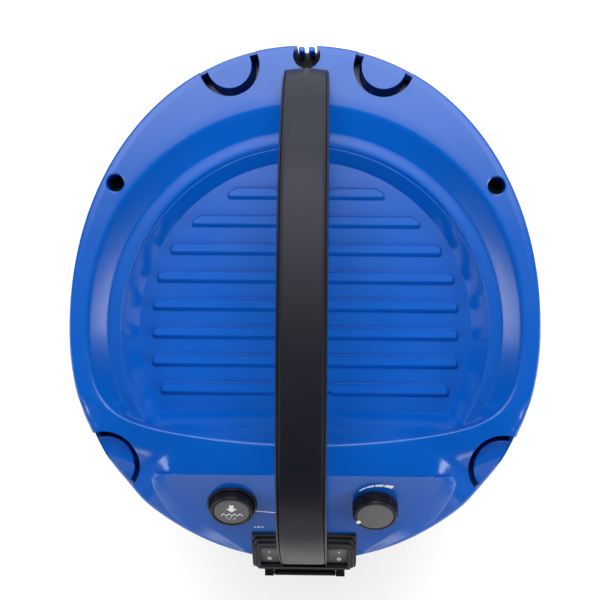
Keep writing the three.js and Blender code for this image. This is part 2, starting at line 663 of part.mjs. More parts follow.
function flapPin() {
  const pin = rod(FLAP_PIN_RADIUS, -SOCKET_HALF + 3.5, SOCKET_HALF - 0.5, SMALL, alongX);
  return pin.translate(0, FLAP_PIN_Y, FLAP_PIN_Z);
}

// ---------------------------------------------------------------- motor and air path
const SEAT_Z = BOWL_Z + BOWL_FLOOR + GAP;
const FAN_Z = SEAT_Z + 4 + GAP;
const FAN_RADIUS = 66;
const FAN_HEIGHT = 36;
const MOTOR_Z = FAN_Z + FAN_HEIGHT + GAP;
const MOTOR_RADIUS = 48;
const MOTOR_HEIGHT = DECK_Z - TRAY_DROP - WALL - 14 - MOTOR_Z;
const SHAFT_RADIUS = 4;
const CORE_RADIUS = 26;
const COMMUTATOR_RADIUS = 13;
const CORE_Z0 = MOTOR_Z + 12;
const CORE_Z1 = MOTOR_Z + MOTOR_HEIGHT - 30;

function motorSeal() {
  return ring(INTAKE_RADIUS + 12, INTAKE_RADIUS + 28, SEAT_Z, FAN_Z - GAP, ROUND);
}

function fanHousing() {
  const z1 = FAN_Z + FAN_HEIGHT;
  const skin = 2.5;
  let housing = rod(FAN_RADIUS, FAN_Z, z1, FINE);
  housing = housing.subtract(rod(FAN_RADIUS - skin, FAN_Z + skin, z1 - skin, FINE));
  housing = housing.subtract(rod(INTAKE_RADIUS, FAN_Z - 1, FAN_Z + 4, ROUND));
  housing = housing.subtract(rod(SHAFT_RADIUS + 1, z1 - 4, z1 + 1, SMALL));
  for (let i = 0; i < 6; i += 1) {
    const slot = block(FAN_RADIUS - 6, FAN_RADIUS + 4, -9, 9, z1 - 13, z1 - 6);
    housing = housing.subtract(slot.rotate([0, 0, 60 * i]));
  }
  return housing;
}

function fanImpeller() {
  const z0 = FAN_Z + 6;
  let fan = ring(SHAFT_RADIUS + GAP, 56, z0 + 14, z0 + 16, ROUND).add(ring(24, 56, z0, z0 + 1.5, ROUND));
  fan = fan.add(ring(SHAFT_RADIUS + GAP, 12, z0 + 4, z0 + 15, SMALL));
  for (let i = 0; i < 7; i += 1) {
    const vane = block(26, 54, -0.8, 0.8, z0 + 1, z0 + 15).rotate([0, 0, (360 / 7) * i]);
    fan = fan.add(vane);
  }
  return fan;
}

// Shaft, wound core and commutator; the core's length follows the room in the motor.
function armature() {
  const shaft = rod(SHAFT_RADIUS, FAN_Z + 9, MOTOR_Z + MOTOR_HEIGHT - 3.5, SMALL);
  const core = rod(CORE_RADIUS, CORE_Z0, CORE_Z1, ROUND);
  const commutator = rod(COMMUTATOR_RADIUS, CORE_Z1 + 4, CORE_Z1 + 14, SMALL);
  return shaft.add(core).add(commutator);
}

const motorStator = () => ring(CORE_RADIUS + 2, MOTOR_RADIUS - 3.5, CORE_Z0 + 1, CORE_Z1 - 1, ROUND);
const bearing = (z) => ring(SHAFT_RADIUS + 0.1, 10, z, z + 6, SMALL);

function motorFrame() {
  const z1 = MOTOR_Z + MOTOR_HEIGHT;
  const profile = [[MOTOR_RADIUS - 3, MOTOR_Z], [MOTOR_RADIUS, MOTOR_Z], [MOTOR_RADIUS, z1 - 4],
    [MOTOR_RADIUS - 4, z1], [0, z1], [0, z1 - 3], [10 + GAP, z1 - 3], [10 + GAP, z1 - 10], [13, z1 - 10],
    [13, z1 - 3.2], [MOTOR_RADIUS - 3, z1 - 6], [MOTOR_RADIUS - 3, MOTOR_Z]];
  let frame = turned(profile, ROUND);
  for (let i = 0; i < 4; i += 1) {
    const window = block(MOTOR_RADIUS - 8, MOTOR_RADIUS + 4, -10, 10, z1 - 24, z1 - 9);
    frame = frame.subtract(window.rotate([0, 0, 90 * i + 45]));
  }
  return frame;
}

function motorMount() {
  const z0 = MOTOR_Z + MOTOR_HEIGHT + GAP;
  return ring(22, 36, z0, DECK_Z - TRAY_DROP - WALL - GAP, ROUND);
}

const exhaustFoam = () => ring(FAN_RADIUS + 6, BOWL_RADIUS - WALL - 2, BOWL_Z + 8, COVER_Z + 20, FINE);

function circuitBoard() {
  const z = COVER_Z + 4;
  let board = block(-50, 50, -166, -136, z, z + 1.6);
  const relay = block(-40, -22, -160, -142, z + 1, z + 12);
  const filterCoil = block(10, 34, -158, -144, z + 1, z + 9);
  board = board.add(relay).add(filterCoil);
  const foot = rod(3, COVER_Z, z + 0.5, SMALL);
  for (const side of [-1, 1]) board = board.add(foot.translate(side * 44, -151, 0));
  return board;
}

function cordGland() {
  const y = eggRadius(Math.atan2(REAR_REACH, GLAND_X)) * Math.sin(Math.atan2(REAR_REACH, GLAND_X)) - 2;
  const profile = [[4.5, y - 16], [GLAND_RADIUS, y - 16], [GLAND_RADIUS, y], [GLAND_RADIUS - 1.5, y + 1.5],
    [4.5, y + 1.5], [4.5, y - 16]];
  return turned(profile, SMALL, alongY).translate(GLAND_X, 0, GLAND_Z);
}

// ---------------------------------------------------------------- float valve and filter
const CAGE_Z1 = BOWL_Z - GAP;
const CAGE_Z0 = CAGE_Z1 - CAGE_DEPTH;
const FILTER_Z1 = BOWL_Z - GAP;
const FILTER_Z0 = FILTER_Z1 - FILTER_HEIGHT;
const STUD_Z0 = FILTER_Z0 - 12;
const END_RING = 8;                 // height of the filter's end rings

function floatCage() {
  const profile = [[0, STUD_Z0], [STUD_RADIUS, STUD_Z0], [STUD_RADIUS, CAGE_Z0], [CAGE_RADIUS, CAGE_Z0],
    [CAGE_RADIUS, CAGE_Z1 - 3], [CAGE_RADIUS + 8, CAGE_Z1 - 3], [CAGE_RADIUS + 8, CAGE_Z1],
    [CAGE_RADIUS - 3, CAGE_Z1], [CAGE_RADIUS - 3, CAGE_Z0 + 3], [0, CAGE_Z0 + 3]];
  let cage = turned(profile, ROUND);
  for (let i = 0; i < 4; i += 1) {
    const window = block(-CAGE_RADIUS - 2, CAGE_RADIUS + 2, -7, 7, CAGE_Z0 + 8, CAGE_Z1 - 6);
    cage = cage.subtract(window.rotate([0, 0, 45 * i]));
  }
  return cage;
}

function floatBall() {
  const geometry = new THREE.SphereGeometry(FLOAT_RADIUS, SMALL, SMALL / 2);
  geometry.rotateX(Math.PI / 2);
  geometry.translate(0, 0, CAGE_Z0 + 3 + GAP + FLOAT_RADIUS);
  return toSolid(geometry);
}

function filterPleats() {
  const folds = 44;
  const outline = [];
  for (let i = 0; i < 2 * folds; i += 1) {
    const radius = i % 2 ? FILTER_BORE + 6 : FILTER_RADIUS - 4;
    const angle = (i / (2 * folds)) * 2 * Math.PI;
    outline.push([radius * Math.cos(angle), radius * Math.sin(angle)]);
  }
  const z0 = FILTER_Z0 + END_RING + GAP;
  const z1 = FILTER_Z1 - END_RING - GAP;
  return pushed(outline, z0, z1).subtract(rod(FILTER_BORE, z0 - 1, z1 + 1, ROUND));
}

const filterTopRing = () => ring(FILTER_BORE - 2, FILTER_RADIUS, FILTER_Z1 - END_RING, FILTER_Z1, ROUND);

function filterBottomCap() {
  const hole = STUD_RADIUS + RUNNING;
  const lip = FILTER_Z0 + END_RING;
  const floor = FILTER_Z0 + WALL;
  const profile = [[hole, FILTER_Z0], [FILTER_RADIUS, FILTER_Z0], [FILTER_RADIUS, lip],
    [FILTER_BORE - 2, lip], [FILTER_BORE - 2, floor], [hole, floor], [hole, FILTER_Z0]];
  return turned(profile, ROUND);
}

function filterNut() {
  const z1 = FILTER_Z0 - GAP;
  const z0 = z1 - NUT_THICK;
  let nut = rod(NUT_RADIUS - 6, z0, z1, ROUND);
  const wing = block(0, NUT_RADIUS, -5, 5, z0, z1 - 3);
  for (let i = 0; i < 3; i += 1) nut = nut.add(wing.rotate([0, 0, 120 * i]));
  return nut.subtract(rod(STUD_RADIUS + RUNNING, z0 + 1.5, z1 + 1, SMALL));
}

// ---------------------------------------------------------------- tank
const PORT_Z = RIM_Z - PORT_DROP;
const DRUM_FLARE = (DRUM_TOP_RADIUS - DRUM_FOOT_RADIUS) / DRUM_HEIGHT;
const drumRadius = (z) => DRUM_FOOT_RADIUS + DRUM_FLARE * (z - DRUM_Z);
const LATCH_PIN_Z = RIM_Z - LATCH_PIN_DROP;
const LATCH_X = RIM_RADIUS + 1 + LATCH_THICK / 2;
const LATCH_PIN_RADIUS = 2.2;
const EAR_HALF = 6;

function latchEars(side) {
  let ears = null;
  for (const end of [-1, 1]) {
    const y = end * (LATCH_HALF + RUNNING + EAR_HALF / 2);
    const ear = block(LATCH_X - 18, LATCH_X + 3.4, y - EAR_HALF / 2, y + EAR_HALF / 2, LATCH_PIN_Z - 9,
      LATCH_PIN_Z + 6);
    ears = ears ? ears.add(ear) : ear;
  }
  const reach = LATCH_HALF + EAR_HALF + 4;
  const bore = rod(LATCH_PIN_RADIUS + GAP, -reach, reach, SMALL, alongY).translate(LATCH_X, 0, LATCH_PIN_Z);
  ears = ears.subtract(bore);
  return side > 0 ? ears : ears.mirror([1, 0, 0]);
}

function tank() {
  const z = DRUM_Z;
  const chamfer = 6;
  const underRim = RIM_Z - RIM_DEPTH;
  const outer = [[0, z], [DRUM_FOOT_RADIUS - chamfer, z], [DRUM_FOOT_RADIUS, z + chamfer],
    [drumRadius(underRim), underRim], [RIM_RADIUS, underRim], [RIM_RADIUS, RIM_Z]];
  const innerFoot = DRUM_FOOT_RADIUS - WALL;
  const inner = [[DRUM_TOP_RADIUS - WALL, RIM_Z], [innerFoot, z + chamfer + 1],
    [innerFoot - chamfer, z + WALL], [0, z + WALL]];
  let body = turned([...outer, ...inner], FINE);
  const inside = turned([...inner.toReversed(), [0, RIM_Z + 1]], FINE);
  for (const side of [-1, 1]) body = body.add(latchEars(side).subtract(inside));
  const portHole = rod(PORT_RADIUS + GAP, DRUM_FOOT_RADIUS - 20, PORT_REACH, ROUND, alongY);
  return body.subtract(portHole.mirror([0, 1, 0]).translate(0, 0, PORT_Z));
}

function hosePort() {
  const y0 = DRUM_FOOT_RADIUS - 4;
  const y1 = DRUM_TOP_RADIUS + 1.5;
  const profile = [[PORT_BORE, y0], [PORT_RADIUS, y0], [PORT_RADIUS, y1], [PORT_RADIUS + 9, y1],
    [PORT_RADIUS + 9, y1 + 4], [PORT_RADIUS + 1, y1 + 7], [PORT_RADIUS + 1, PORT_REACH - 2],
    [PORT_RADIUS - 1, PORT_REACH], [PORT_BORE, PORT_REACH], [PORT_BORE, y0]];
  return turned(profile, ROUND, alongY).mirror([0, 1, 0]).translate(0, 0, PORT_Z);
}

function latch(side) {
  const x0 = RIM_RADIUS + 1;
  const x1 = x0 + LATCH_THICK;
  const clawZ = COVER_Z + 0.4;
  let body = block(x0, x1, -LATCH_HALF, LATCH_HALF, LATCH_PIN_Z - 4, clawZ + 6);
  body = body.add(block(x0 - 6, x0 + 1, -LATCH_HALF + 3, LATCH_HALF - 3, clawZ, clawZ + 6));
  body = body.add(block(x0, x1, -LATCH_HALF + 4, LATCH_HALF - 4, LATCH_PIN_Z - LATCH_TAIL, LATCH_PIN_Z - 3));
  const bore = rod(LATCH_PIN_RADIUS + GAP, -LATCH_HALF - 1, LATCH_HALF + 1, SMALL, alongY);
  body = body.subtract(bore.translate(LATCH_X, 0, LATCH_PIN_Z));
  return side > 0 ? body : body.mirror([1, 0, 0]);
}

function latchPin(side) {
  const half = LATCH_HALF + RUNNING + EAR_HALF;
  return rod(LATCH_PIN_RADIUS, -half, half, SMALL, alongY).translate(side * LATCH_X, 0, LATCH_PIN_Z);
}

// ---------------------------------------------------------------- base, wheels and castors
const AXLE_Z = WHEEL_RADIUS;
const AXLE_HALF = WHEEL_X + WHEEL_WIDTH / 2 + 3;
const LUG_X = 128;
const STEM_RADIUS = 5;
const HUB_RADIUS = 42;

function basePlate() {
  const z0 = BASE_Z;
  const z1 = BASE_Z + BASE_THICK;
  let plate = rod(DRUM_FOOT_RADIUS - 8, z0, z1, FINE);
  plate = plate.subtract(rod(96, z0 - 1, z1 + 1, FINE));
  const lug = block(LUG_X - 8, LUG_X + 8, WHEEL_Y - 12, WHEEL_Y + 12, AXLE_Z - 9, z0 + 1);
  for (const side of [-1, 1]) {
    plate = plate.add(rod(14, z0, z1, ROUND).translate(side * CASTOR_X, CASTOR_Y, 0));
    plate = plate.add(side > 0 ? lug : lug.mirror([1, 0, 0]));
    const socket = rod(STEM_RADIUS + RUNNING, z0 - 1, z1 - 2, SMALL);
    plate = plate.subtract(socket.translate(side * CASTOR_X, CASTOR_Y, 0));
  }
  const axleHole = rod(AXLE_RADIUS + GAP, -AXLE_HALF, AXLE_HALF, SMALL, alongX);
  return plate.subtract(axleHole.translate(0, WHEEL_Y, AXLE_Z));
}

function rearAxle() {
  const half = AXLE_HALF - 1;
  return rod(AXLE_RADIUS, -half, half, SMALL, alongX).translate(0, WHEEL_Y, AXLE_Z);
}

function rearTyre(side) {
  const half = WHEEL_WIDTH / 2;
  const shoulder = WHEEL_RADIUS - 2.5;
  const profile = [[HUB_RADIUS, -half], [shoulder, -half], [WHEEL_RADIUS, -half + 3],
    [WHEEL_RADIUS, half - 3], [shoulder, half], [HUB_RADIUS, half], [HUB_RADIUS, -half]];
  return turned(profile, FINE, alongX).translate(side * WHEEL_X, WHEEL_Y, AXLE_Z);
}

function rearHub(side) {
  const half = WHEEL_WIDTH / 2 - 1;
  const bore = AXLE_RADIUS + RUNNING;
  const outer = HUB_RADIUS - GAP;
  let hub = ring(outer - WALL, outer, -half, half, FINE);
  hub = hub.add(ring(bore, outer - 1, -WALL, WALL, FINE));
  hub = hub.add(ring(bore, 12, -half, half, SMALL));
  for (let i = 0; i < 6; i += 1) {
    hub = hub.subtract(rod(6, -half - 1, half + 1, SMALL).translate(25, 0, 0).rotate([0, 0, 60 * i]));
  }
  return hub.transform(shift(side * WHEEL_X, WHEEL_Y, AXLE_Z).multiply(alongX).elements);
}

function hubCap(side) {
  const cap = turned([[0, 0], [AXLE_RADIUS + 4, 0], [AXLE_RADIUS + 2, 2.4], [0, 3]], SMALL);
  const facing = alongX.clone();
  if (side < 0) facing.multiply(new THREE.Matrix4().makeRotationX(Math.PI));
  const place = shift(side * (AXLE_HALF - 1 + GAP), WHEEL_Y, AXLE_Z);
  return cap.transform(place.multiply(facing).elements);
}

function castorFork(side) {
  const top = BASE_Z - GAP;
  const inner = CASTOR_WIDTH / 2 + RUNNING + GAP;
  const outer = inner + WALL;
  const axleY = CASTOR_TRAIL;
  let fork = rod(15, top - 5, top, ROUND);
  fork = fork.add(rod(STEM_RADIUS, top - 1, top + BASE_THICK - 2 - GAP, SMALL));
  fork = fork.add(block(-outer, outer, -12, axleY + 2, top - 8, top - 3));
  const low = CASTOR_RADIUS - 4;
  const cheek = [[-8, top - 4], [axleY - 8, low], [axleY + 8, low], [axleY + 8, CASTOR_RADIUS + 6],
    [axleY + 2, top - 4]];
  for (const d0 of [-outer, inner]) fork = fork.add(pushed(cheek, d0, d0 + WALL, alongX));
  const clear = rod(CASTOR_RADIUS + 1.2, -inner, inner, ROUND, alongX);
  const bore = rod(CASTOR_AXLE + GAP, -outer - 1, outer + 1, SMALL, alongX);
  fork = fork.subtract(clear.add(bore).translate(0, axleY, CASTOR_RADIUS));
  return fork.translate(side * CASTOR_X, CASTOR_Y, 0);
}

function castorWheel(side) {
  const half = CASTOR_WIDTH / 2;
  const bore = CASTOR_AXLE + RUNNING;
  const profile = [[bore, -half], [CASTOR_RADIUS - 2, -half], [CASTOR_RADIUS, -half + 2],
    [CASTOR_RADIUS, half - 2], [CASTOR_RADIUS - 2, half], [bore, half], [bore, -half]];
  const wheel = turned(profile, ROUND, alongX);
  return wheel.translate(side * CASTOR_X, CASTOR_Y + CASTOR_TRAIL, CASTOR_RADIUS);
}

function castorAxle(side) {
  const half = CASTOR_WIDTH / 2 + RUNNING + GAP + WALL;
  const axle = rod(CASTOR_AXLE, -half, half, SMALL, alongX);
  return axle.translate(side * CASTOR_X, CASTOR_Y + CASTOR_TRAIL, CASTOR_RADIUS);
}

// ---------------------------------------------------------------- assembly
const trim = handleTrim();
const rimSeal = ring(DRUM_TOP_RADIUS - WALL + 0.5, RIM_RADIUS - 1.5, SEAL_Z, SEAL_Z + SEAL_THICK, FINE);

addPiece('head_cover', headCover(), paint(BLUE, 0.35));
addPiece('head_housing', headHousing(), paint(BLACK, 0.55));
addPiece('handle_frame', handleArch(HANDLE_CAP_THICK + GAP, HANDLE_THICK, HANDLE_WIDTH).subtract(trim),
  paint(BLACK, 0.5));
addPiece('handle_cap', handleArch(0, HANDLE_CAP_THICK, HANDLE_CAP_WIDTH).subtract(trim), paint(BLACK, 0.35));
addPiece('filter_button', filterButton(), paint(GREY, 0.5));
addPiece('button_ring', buttonRing(), paint(BLACK, 0.4));
addPiece('valve_guide', valveGuide(), paint(BLACK, 0.5));
addPiece('power_knob', powerKnob(), paint(GREY, 0.5));
addPiece('speed_control', speedControl(), paint(STEEL, 0.4, 0.6));
addPiece('switch_bezel', switchBezel(), paint(BLACK, 0.4));
addPiece('socket_housing', socketHousing(), paint(BLACK, 0.5));
addPiece('socket_flap', socketFlap(), paint(BLACK, 0.45));
addPiece('flap_pin', flapPin(), paint(STEEL, 0.3, 0.9));
addPiece('motor_seal', motorSeal(), paint(RUBBER, 0.9));
addPiece('fan_housing', fanHousing(), paint(STEEL, 0.4, 0.7));
addPiece('fan_impeller', fanImpeller(), paint(STEEL, 0.3, 0.8));
addPiece('armature', armature(), paint(0x9a6b3c, 0.4, 0.6));
addPiece('motor_stator', motorStator(), paint(0x8a5a30, 0.5, 0.4));
addPiece('bearing_top', bearing(MOTOR_Z + MOTOR_HEIGHT - 9.5), paint(STEEL, 0.25, 0.9));
addPiece('bearing_bottom', bearing(MOTOR_Z + GAP), paint(STEEL, 0.25, 0.9));
addPiece('motor_frame', motorFrame(), paint(STEEL, 0.5, 0.5));
addPiece('motor_mount', motorMount(), paint(RUBBER, 0.9));
addPiece('exhaust_foam', exhaustFoam(), paint(0x3a3a3c, 1));
addPiece('circuit_board', circuitBoard(), paint(0x1f5a3a, 0.6));
addPiece('cord_gland', cordGland(), paint(RUBBER, 0.8));
addPiece('float_cage', floatCage(), paint(0x2a2a2e, 0.6));
addPiece('float_ball', floatBall(), paint(0xd8d8d4, 0.5));
addPiece('filter_pleats', filterPleats(), paint(0xe4e0d4, 0.95));
addPiece('filter_top_ring', filterTopRing(), paint(BLACK, 0.8));
addPiece('filter_bottom_cap', filterBottomCap(), paint(BLACK, 0.7));
addPiece('filter_nut', filterNut(), paint(GREY, 0.6));
addPiece('rim_seal', rimSeal, paint(RUBBER, 0.9));
addPiece('tank', tank(), paint(0x2b2b30, 0.5));
addPiece('hose_port', hosePort(), paint(BLACK, 0.5));
addPiece('base_plate', basePlate(), paint(BLACK, 0.6));
addPiece('rear_axle', rearAxle(), paint(STEEL, 0.3, 0.9));

for (const [word, side] of [['left', -1], ['right', 1]]) {
  addPiece(`rocker_${word}`, rocker(side), paint(GREY, 0.5));
  addPiece(`cover_screw_${word}`, coverScrew(side), paint(STEEL, 0.3, 0.9));
  addPiece(`latch_${word}`, latch(side), paint(BLACK, 0.45));
  addPiece(`latch_pin_${word}`, latchPin(side), paint(STEEL, 0.3, 0.9));
  addPiece(`rear_tyre_${word}`, rearTyre(side), paint(RUBBER, 0.9));
  addPiece(`rear_hub_${word}`, rearHub(side), paint(GREY, 0.6));
  addPiece(`hub_cap_${word}`, hubCap(side), paint(BLACK, 0.5));
  addPiece(`castor_fork_${word}`, castorFork(side), paint(STEEL, 0.4, 0.8));
  addPiece(`castor_wheel_${word}`, castorWheel(side), paint(RUBBER, 0.8));
  addPiece(`castor_axle_${word}`, castorAxle(side), paint(STEEL, 0.3, 0.9));
}

// The origin lies under the middle of the footprint.
const frontReach = SOCKET_FRONT + FLAP_THICK + GAP;
vacuum.position.y = (frontReach - REAR_REACH) / 2;

export default vacuum;
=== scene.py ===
"""Shop vacuum: looks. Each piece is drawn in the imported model's frame, from sizes in millimetres."""

import math

import bmesh
import bpy
import numpy as np
from mathutils import Matrix, Vector


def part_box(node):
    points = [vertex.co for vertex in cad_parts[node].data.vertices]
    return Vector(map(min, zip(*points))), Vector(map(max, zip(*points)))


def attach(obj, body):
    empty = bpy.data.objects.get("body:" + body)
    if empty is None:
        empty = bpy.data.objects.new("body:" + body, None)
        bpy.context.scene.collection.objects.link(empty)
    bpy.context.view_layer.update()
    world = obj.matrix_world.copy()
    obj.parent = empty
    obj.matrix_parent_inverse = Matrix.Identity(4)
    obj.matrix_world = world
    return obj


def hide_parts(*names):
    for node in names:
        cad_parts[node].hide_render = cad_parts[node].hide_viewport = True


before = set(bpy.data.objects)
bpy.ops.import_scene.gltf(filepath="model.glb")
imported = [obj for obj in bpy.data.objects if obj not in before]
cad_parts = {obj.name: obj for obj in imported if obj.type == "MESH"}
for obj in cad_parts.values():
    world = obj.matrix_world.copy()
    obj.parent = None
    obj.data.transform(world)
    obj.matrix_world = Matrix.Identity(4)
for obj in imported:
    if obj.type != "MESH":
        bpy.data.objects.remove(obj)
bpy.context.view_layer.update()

# ------------------------------------------------------------------ the head's driving sizes, in millimetres
MM = 0.001
HALF_WIDTH = 189.5
REAR_REACH = 227
FRONT_REACH = 197
REAR_POWER = 2.08            # how square the outline is behind the tank's axis, and in front of it
FRONT_POWER = 2.06
SKIRT_DRAFT = 4.5
SKIRT_WALL = 3.0
RIM_INSET = 0.6
COVE_RADIUS = 177.6          # where the deck starts to fall towards the tray
LEDGE_RADIUS = 159.2
TRAY_TOP_RADIUS = 148.8
TRAY_FOOT_RADIUS = 136
LEDGE_DROP = 12
TRAY_DROP = 30
RIDGE_REACH = 96.8           # the crest between the tray and the control panel
RIDGE_BOW = 0.00088
RIDGE_BLEND = 48
TRAY_FRONT = 68
LEDGE_FRONT = 83.5
LEDGE_FRONT_BOW = 0.00036
HOOD_RUN = 21.9              # the slope from the crest to the panel's top edge
HOOD_DROP = 6.57
CORNER_FALL = 0.85
KNEE_FILLET = 13
PANEL_TILT = math.radians(44)
CONTROL_X = 58.4
CONTROL_V = -36
SHELL_WALL = 3.5
BEZEL_FOOT_V = -113.4
BEZEL_RISE = 4
ROCKER_X = 29.2
ROCKER_V = -97.3
ROCKER_LEAN = math.radians(8)
PIVOT_N = -0.5

cover_low, cover_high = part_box("head_cover")
tank_low, tank_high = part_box("tank")
AXIS_Y = (tank_low.y + tank_high.y) / 2          # the tank's axis
DECK = cover_high.z / MM
FOOT = cover_low.z / MM
FLOOR = DECK - TRAY_DROP
PANEL_TOP_Y = -(RIDGE_REACH + HOOD_RUN)
PANEL_TOP_Z = DECK - HOOD_DROP


# ------------------------------------------------------------------ materials
DRIFT_SCALE = 9.0            # the size of the slow colour drift, of the uneven polish and of the moulded grain
POLISH_SCALE = 34.0
FINE_GRAIN = 1400.0


def noise(tree, place, scale, detail):
    texture = tree.nodes.new("ShaderNodeTexNoise")
    texture.inputs["Scale"].default_value = scale
    texture.inputs["Detail"].default_value = detail
    tree.links.new(place.outputs["Object"], texture.inputs["Vector"])
    return texture.outputs["Fac"]


def plastic(name, colour, roughness, grain=900.0, grain_depth=0.00006, variation=0.06, gloss=0.5):
    """Moulded plastic: a slight colour drift, a fine surface grain and an uneven polish."""
    material = bpy.data.materials.new(name)
    material.use_nodes = True
    tree = material.node_tree
    shader = tree.nodes["Principled BSDF"]
    place = tree.nodes.new("ShaderNodeTexCoord")
    tint = tree.nodes.new("ShaderNodeValToRGB")
    ends = ((0.3, 1.0 - variation), (0.7, 1.0 + variation))
    for element, (position, factor) in zip(tint.color_ramp.elements, ends):
        element.position = position
        element.color = (*[min(c * factor, 1.0) for c in colour], 1)
    tree.links.new(noise(tree, place, DRIFT_SCALE, 4.0), tint.inputs["Fac"])
    tree.links.new(tint.outputs["Color"], shader.inputs["Base Color"])
    spread = tree.nodes.new("ShaderNodeMapRange")
    spread.inputs["To Min"].default_value = roughness - 0.05
    spread.inputs["To Max"].default_value = roughness + 0.06
    tree.links.new(noise(tree, place, POLISH_SCALE, 6.0), spread.inputs["Value"])
    tree.links.new(spread.outputs["Result"], shader.inputs["Roughness"])
    bump = tree.nodes.new("ShaderNodeBump")
    bump.inputs["Strength"].default_value = 0.5
    bump.inputs["Distance"].default_value = grain_depth
    tree.links.new(noise(tree, place, grain, 3.0), bump.inputs["Height"])
    tree.links.new(bump.outputs["Normal"], shader.inputs["Normal"])
    shader.inputs["Specular IOR Level"].default_value = gloss
    return material


def painted_rear_sheen(material, sheen_tint, start, end):
    """A painted sheen on the handle's rear, standing in for the light that falls there: a soft change of colour
    along y, from start to end in metres, paler towards the rear.
    """
    tree = material.node_tree
    shader = tree.nodes["Principled BSDF"]
    own_colour = shader.inputs["Base Color"].links[0].from_socket
    place = next(n for n in tree.nodes if n.type == "TEX_COORD")
    split = tree.nodes.new("ShaderNodeSeparateXYZ")
    tree.links.new(place.outputs["Object"], split.inputs["Vector"])
    along = tree.nodes.new("ShaderNodeMapRange")
    along.inputs["From Min"].default_value = start
    along.inputs["From Max"].default_value = end
    along.interpolation_type = "SMOOTHSTEP"
    tree.links.new(split.outputs["Y"], along.inputs["Value"])
    mix = tree.nodes.new("ShaderNodeMix")
    mix.data_type = "RGBA"
    tree.links.new(along.outputs["Result"], mix.inputs[0])
    tree.links.new(own_colour, mix.inputs[6])
    mix.inputs[7].default_value = (*sheen_tint, 1)
    tree.links.new(mix.outputs[2], shader.inputs["Base Color"])
    return material


def metal(name, colour, roughness):
    material = plastic(name, colour, roughness, grain=420.0, grain_depth=0.00003, variation=0.05)
    material.node_tree.nodes["Principled BSDF"].inputs["Metallic"].default_value = 1.0
    return material


BLUE = plastic("cover_blue", (0.0004, 0.082, 0.425), 0.2, FINE_GRAIN, 0.00002, 0.03, gloss=0.4)
BLACK = plastic("control_black", (0.006, 0.0055, 0.010), 0.42, gloss=0.22)
# The handle's base colour carries a painted sheen: it is made paler towards the rear, where the lamps light it.
HANDLE = painted_rear_sheen(plastic("handle_black", (0.005, 0.005, 0.010), 0.46, gloss=0.18), (0.026, 0.028, 0.042), -0.04, 0.19)
HOUSING = plastic("housing_black", (0.005, 0.005, 0.007), 0.42, gloss=0.2)
CONTROL = plastic("control_grey", (0.085, 0.08, 0.09), 0.5, grain=1300.0)
TANK = plastic("tank_dark", (0.02, 0.021, 0.026), 0.48, grain=700.0, grain_depth=0.0001)
RUBBER = plastic("tyre_rubber", (0.02, 0.02, 0.021), 0.8, grain=500.0, grain_depth=0.0002, variation=0.2)
WHITE = plastic("mark_white", (0.85, 0.85, 0.85), 0.5, variation=0.02)
STEEL = metal("zinc_steel", (0.55, 0.55, 0.57), 0.35)
COPPER = metal("winding_copper", (0.55, 0.25, 0.12), 0.4)
FOAM = plastic("exhaust_foam", (0.05, 0.05, 0.055), 0.95, grain=300.0, grain_depth=0.001, variation=0.3)
BOARD = plastic("circuit_board", (0.02, 0.12, 0.05), 0.5)
PAPER = plastic("filter_paper", (0.72, 0.69, 0.6), 0.9, grain=600.0, grain_depth=0.0002, variation=0.1)
FLOAT = plastic("float_white", (0.68, 0.68, 0.64), 0.45)


# ------------------------------------------------------------------ mesh helpers, in mm round the tank's axis
TINY = 1e-6


def new_object(name, part):
    """An object from (points, faces), moved to the tank's axis, with its faces turned outwards."""
    points, faces = part
    mesh = bpy.data.meshes.new(name)
    mesh.from_pydata((np.asarray(points, float) * MM + np.array([0, AXIS_Y, 0])).tolist(), [], faces)
    mesh.validate()
    work = bmesh.new()
    work.from_mesh(mesh)
    bmesh.ops.recalc_face_normals(work, faces=work.faces)
    work.to_mesh(mesh)
    work.free()
    item = bpy.data.objects.new(name, mesh)
    bpy.context.scene.collection.objects.link(item)
    return item


def make(name, part, material, body, smooth_angle=35):
    """A closed piece that rides on a body."""
    piece = new_object(name, part)
    piece.data.materials.append(material)
    shade(piece, smooth_angle)
    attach(piece, body)
    return piece


def shade(piece, angle):
    mesh = piece.data
    mesh.polygons.foreach_set("use_smooth", [True] * len(mesh.polygons))
    mesh.set_sharp_from_angle(angle=math.radians(angle))


def curve(start, corner, end, t):
    return (1 - t) ** 2 * start + 2 * t * (1 - t) * corner + t * t * end


def rounded(profile, radius, steps=5, closed=False):
    """The polyline with each corner replaced by a small curve; radius may be one number or one a corner."""
    count = len(profile)
    radii = [radius] * count if np.isscalar(radius) else list(radius)
    path = []
    for i, point in enumerate(profile):
        here = np.array(point, float)
        into = np.array(profile[i - 1], float) - here
        out = np.array(profile[(i + 1) % count], float) - here
        reach = min(radii[i], 0.45 * np.linalg.norm(into), 0.45 * np.linalg.norm(out))
        if reach < TINY or (not closed and i in (0, count - 1)):
            path.append(here)
            continue
        start = here + into / np.linalg.norm(into) * reach
        end = here + out / np.linalg.norm(out) * reach
        path.extend(curve(start, here, end, k / steps) for k in range(steps + 1))
    return path


def moved(points, matrix):
    return points if matrix is None else [tuple(matrix @ Vector(p)) for p in points]


def bridge(rows, count):
    """Faces between rows of points, each (first index, length); a row of length one is a centre point."""
    faces = []
    for (a, a_length), (b, b_length) in zip(rows, rows[1:]):
        if a_length == 1 and b_length == 1:
            continue
        for i in range(count):
            j = (i + 1) % count
            if b_length == 1:
                faces.append((a + i, a + j, b))
            elif a_length == 1:
                faces.append((a, b + j, b + i))
            else:
                faces.append((a + i, a + j, b + j, b + i))
    return faces


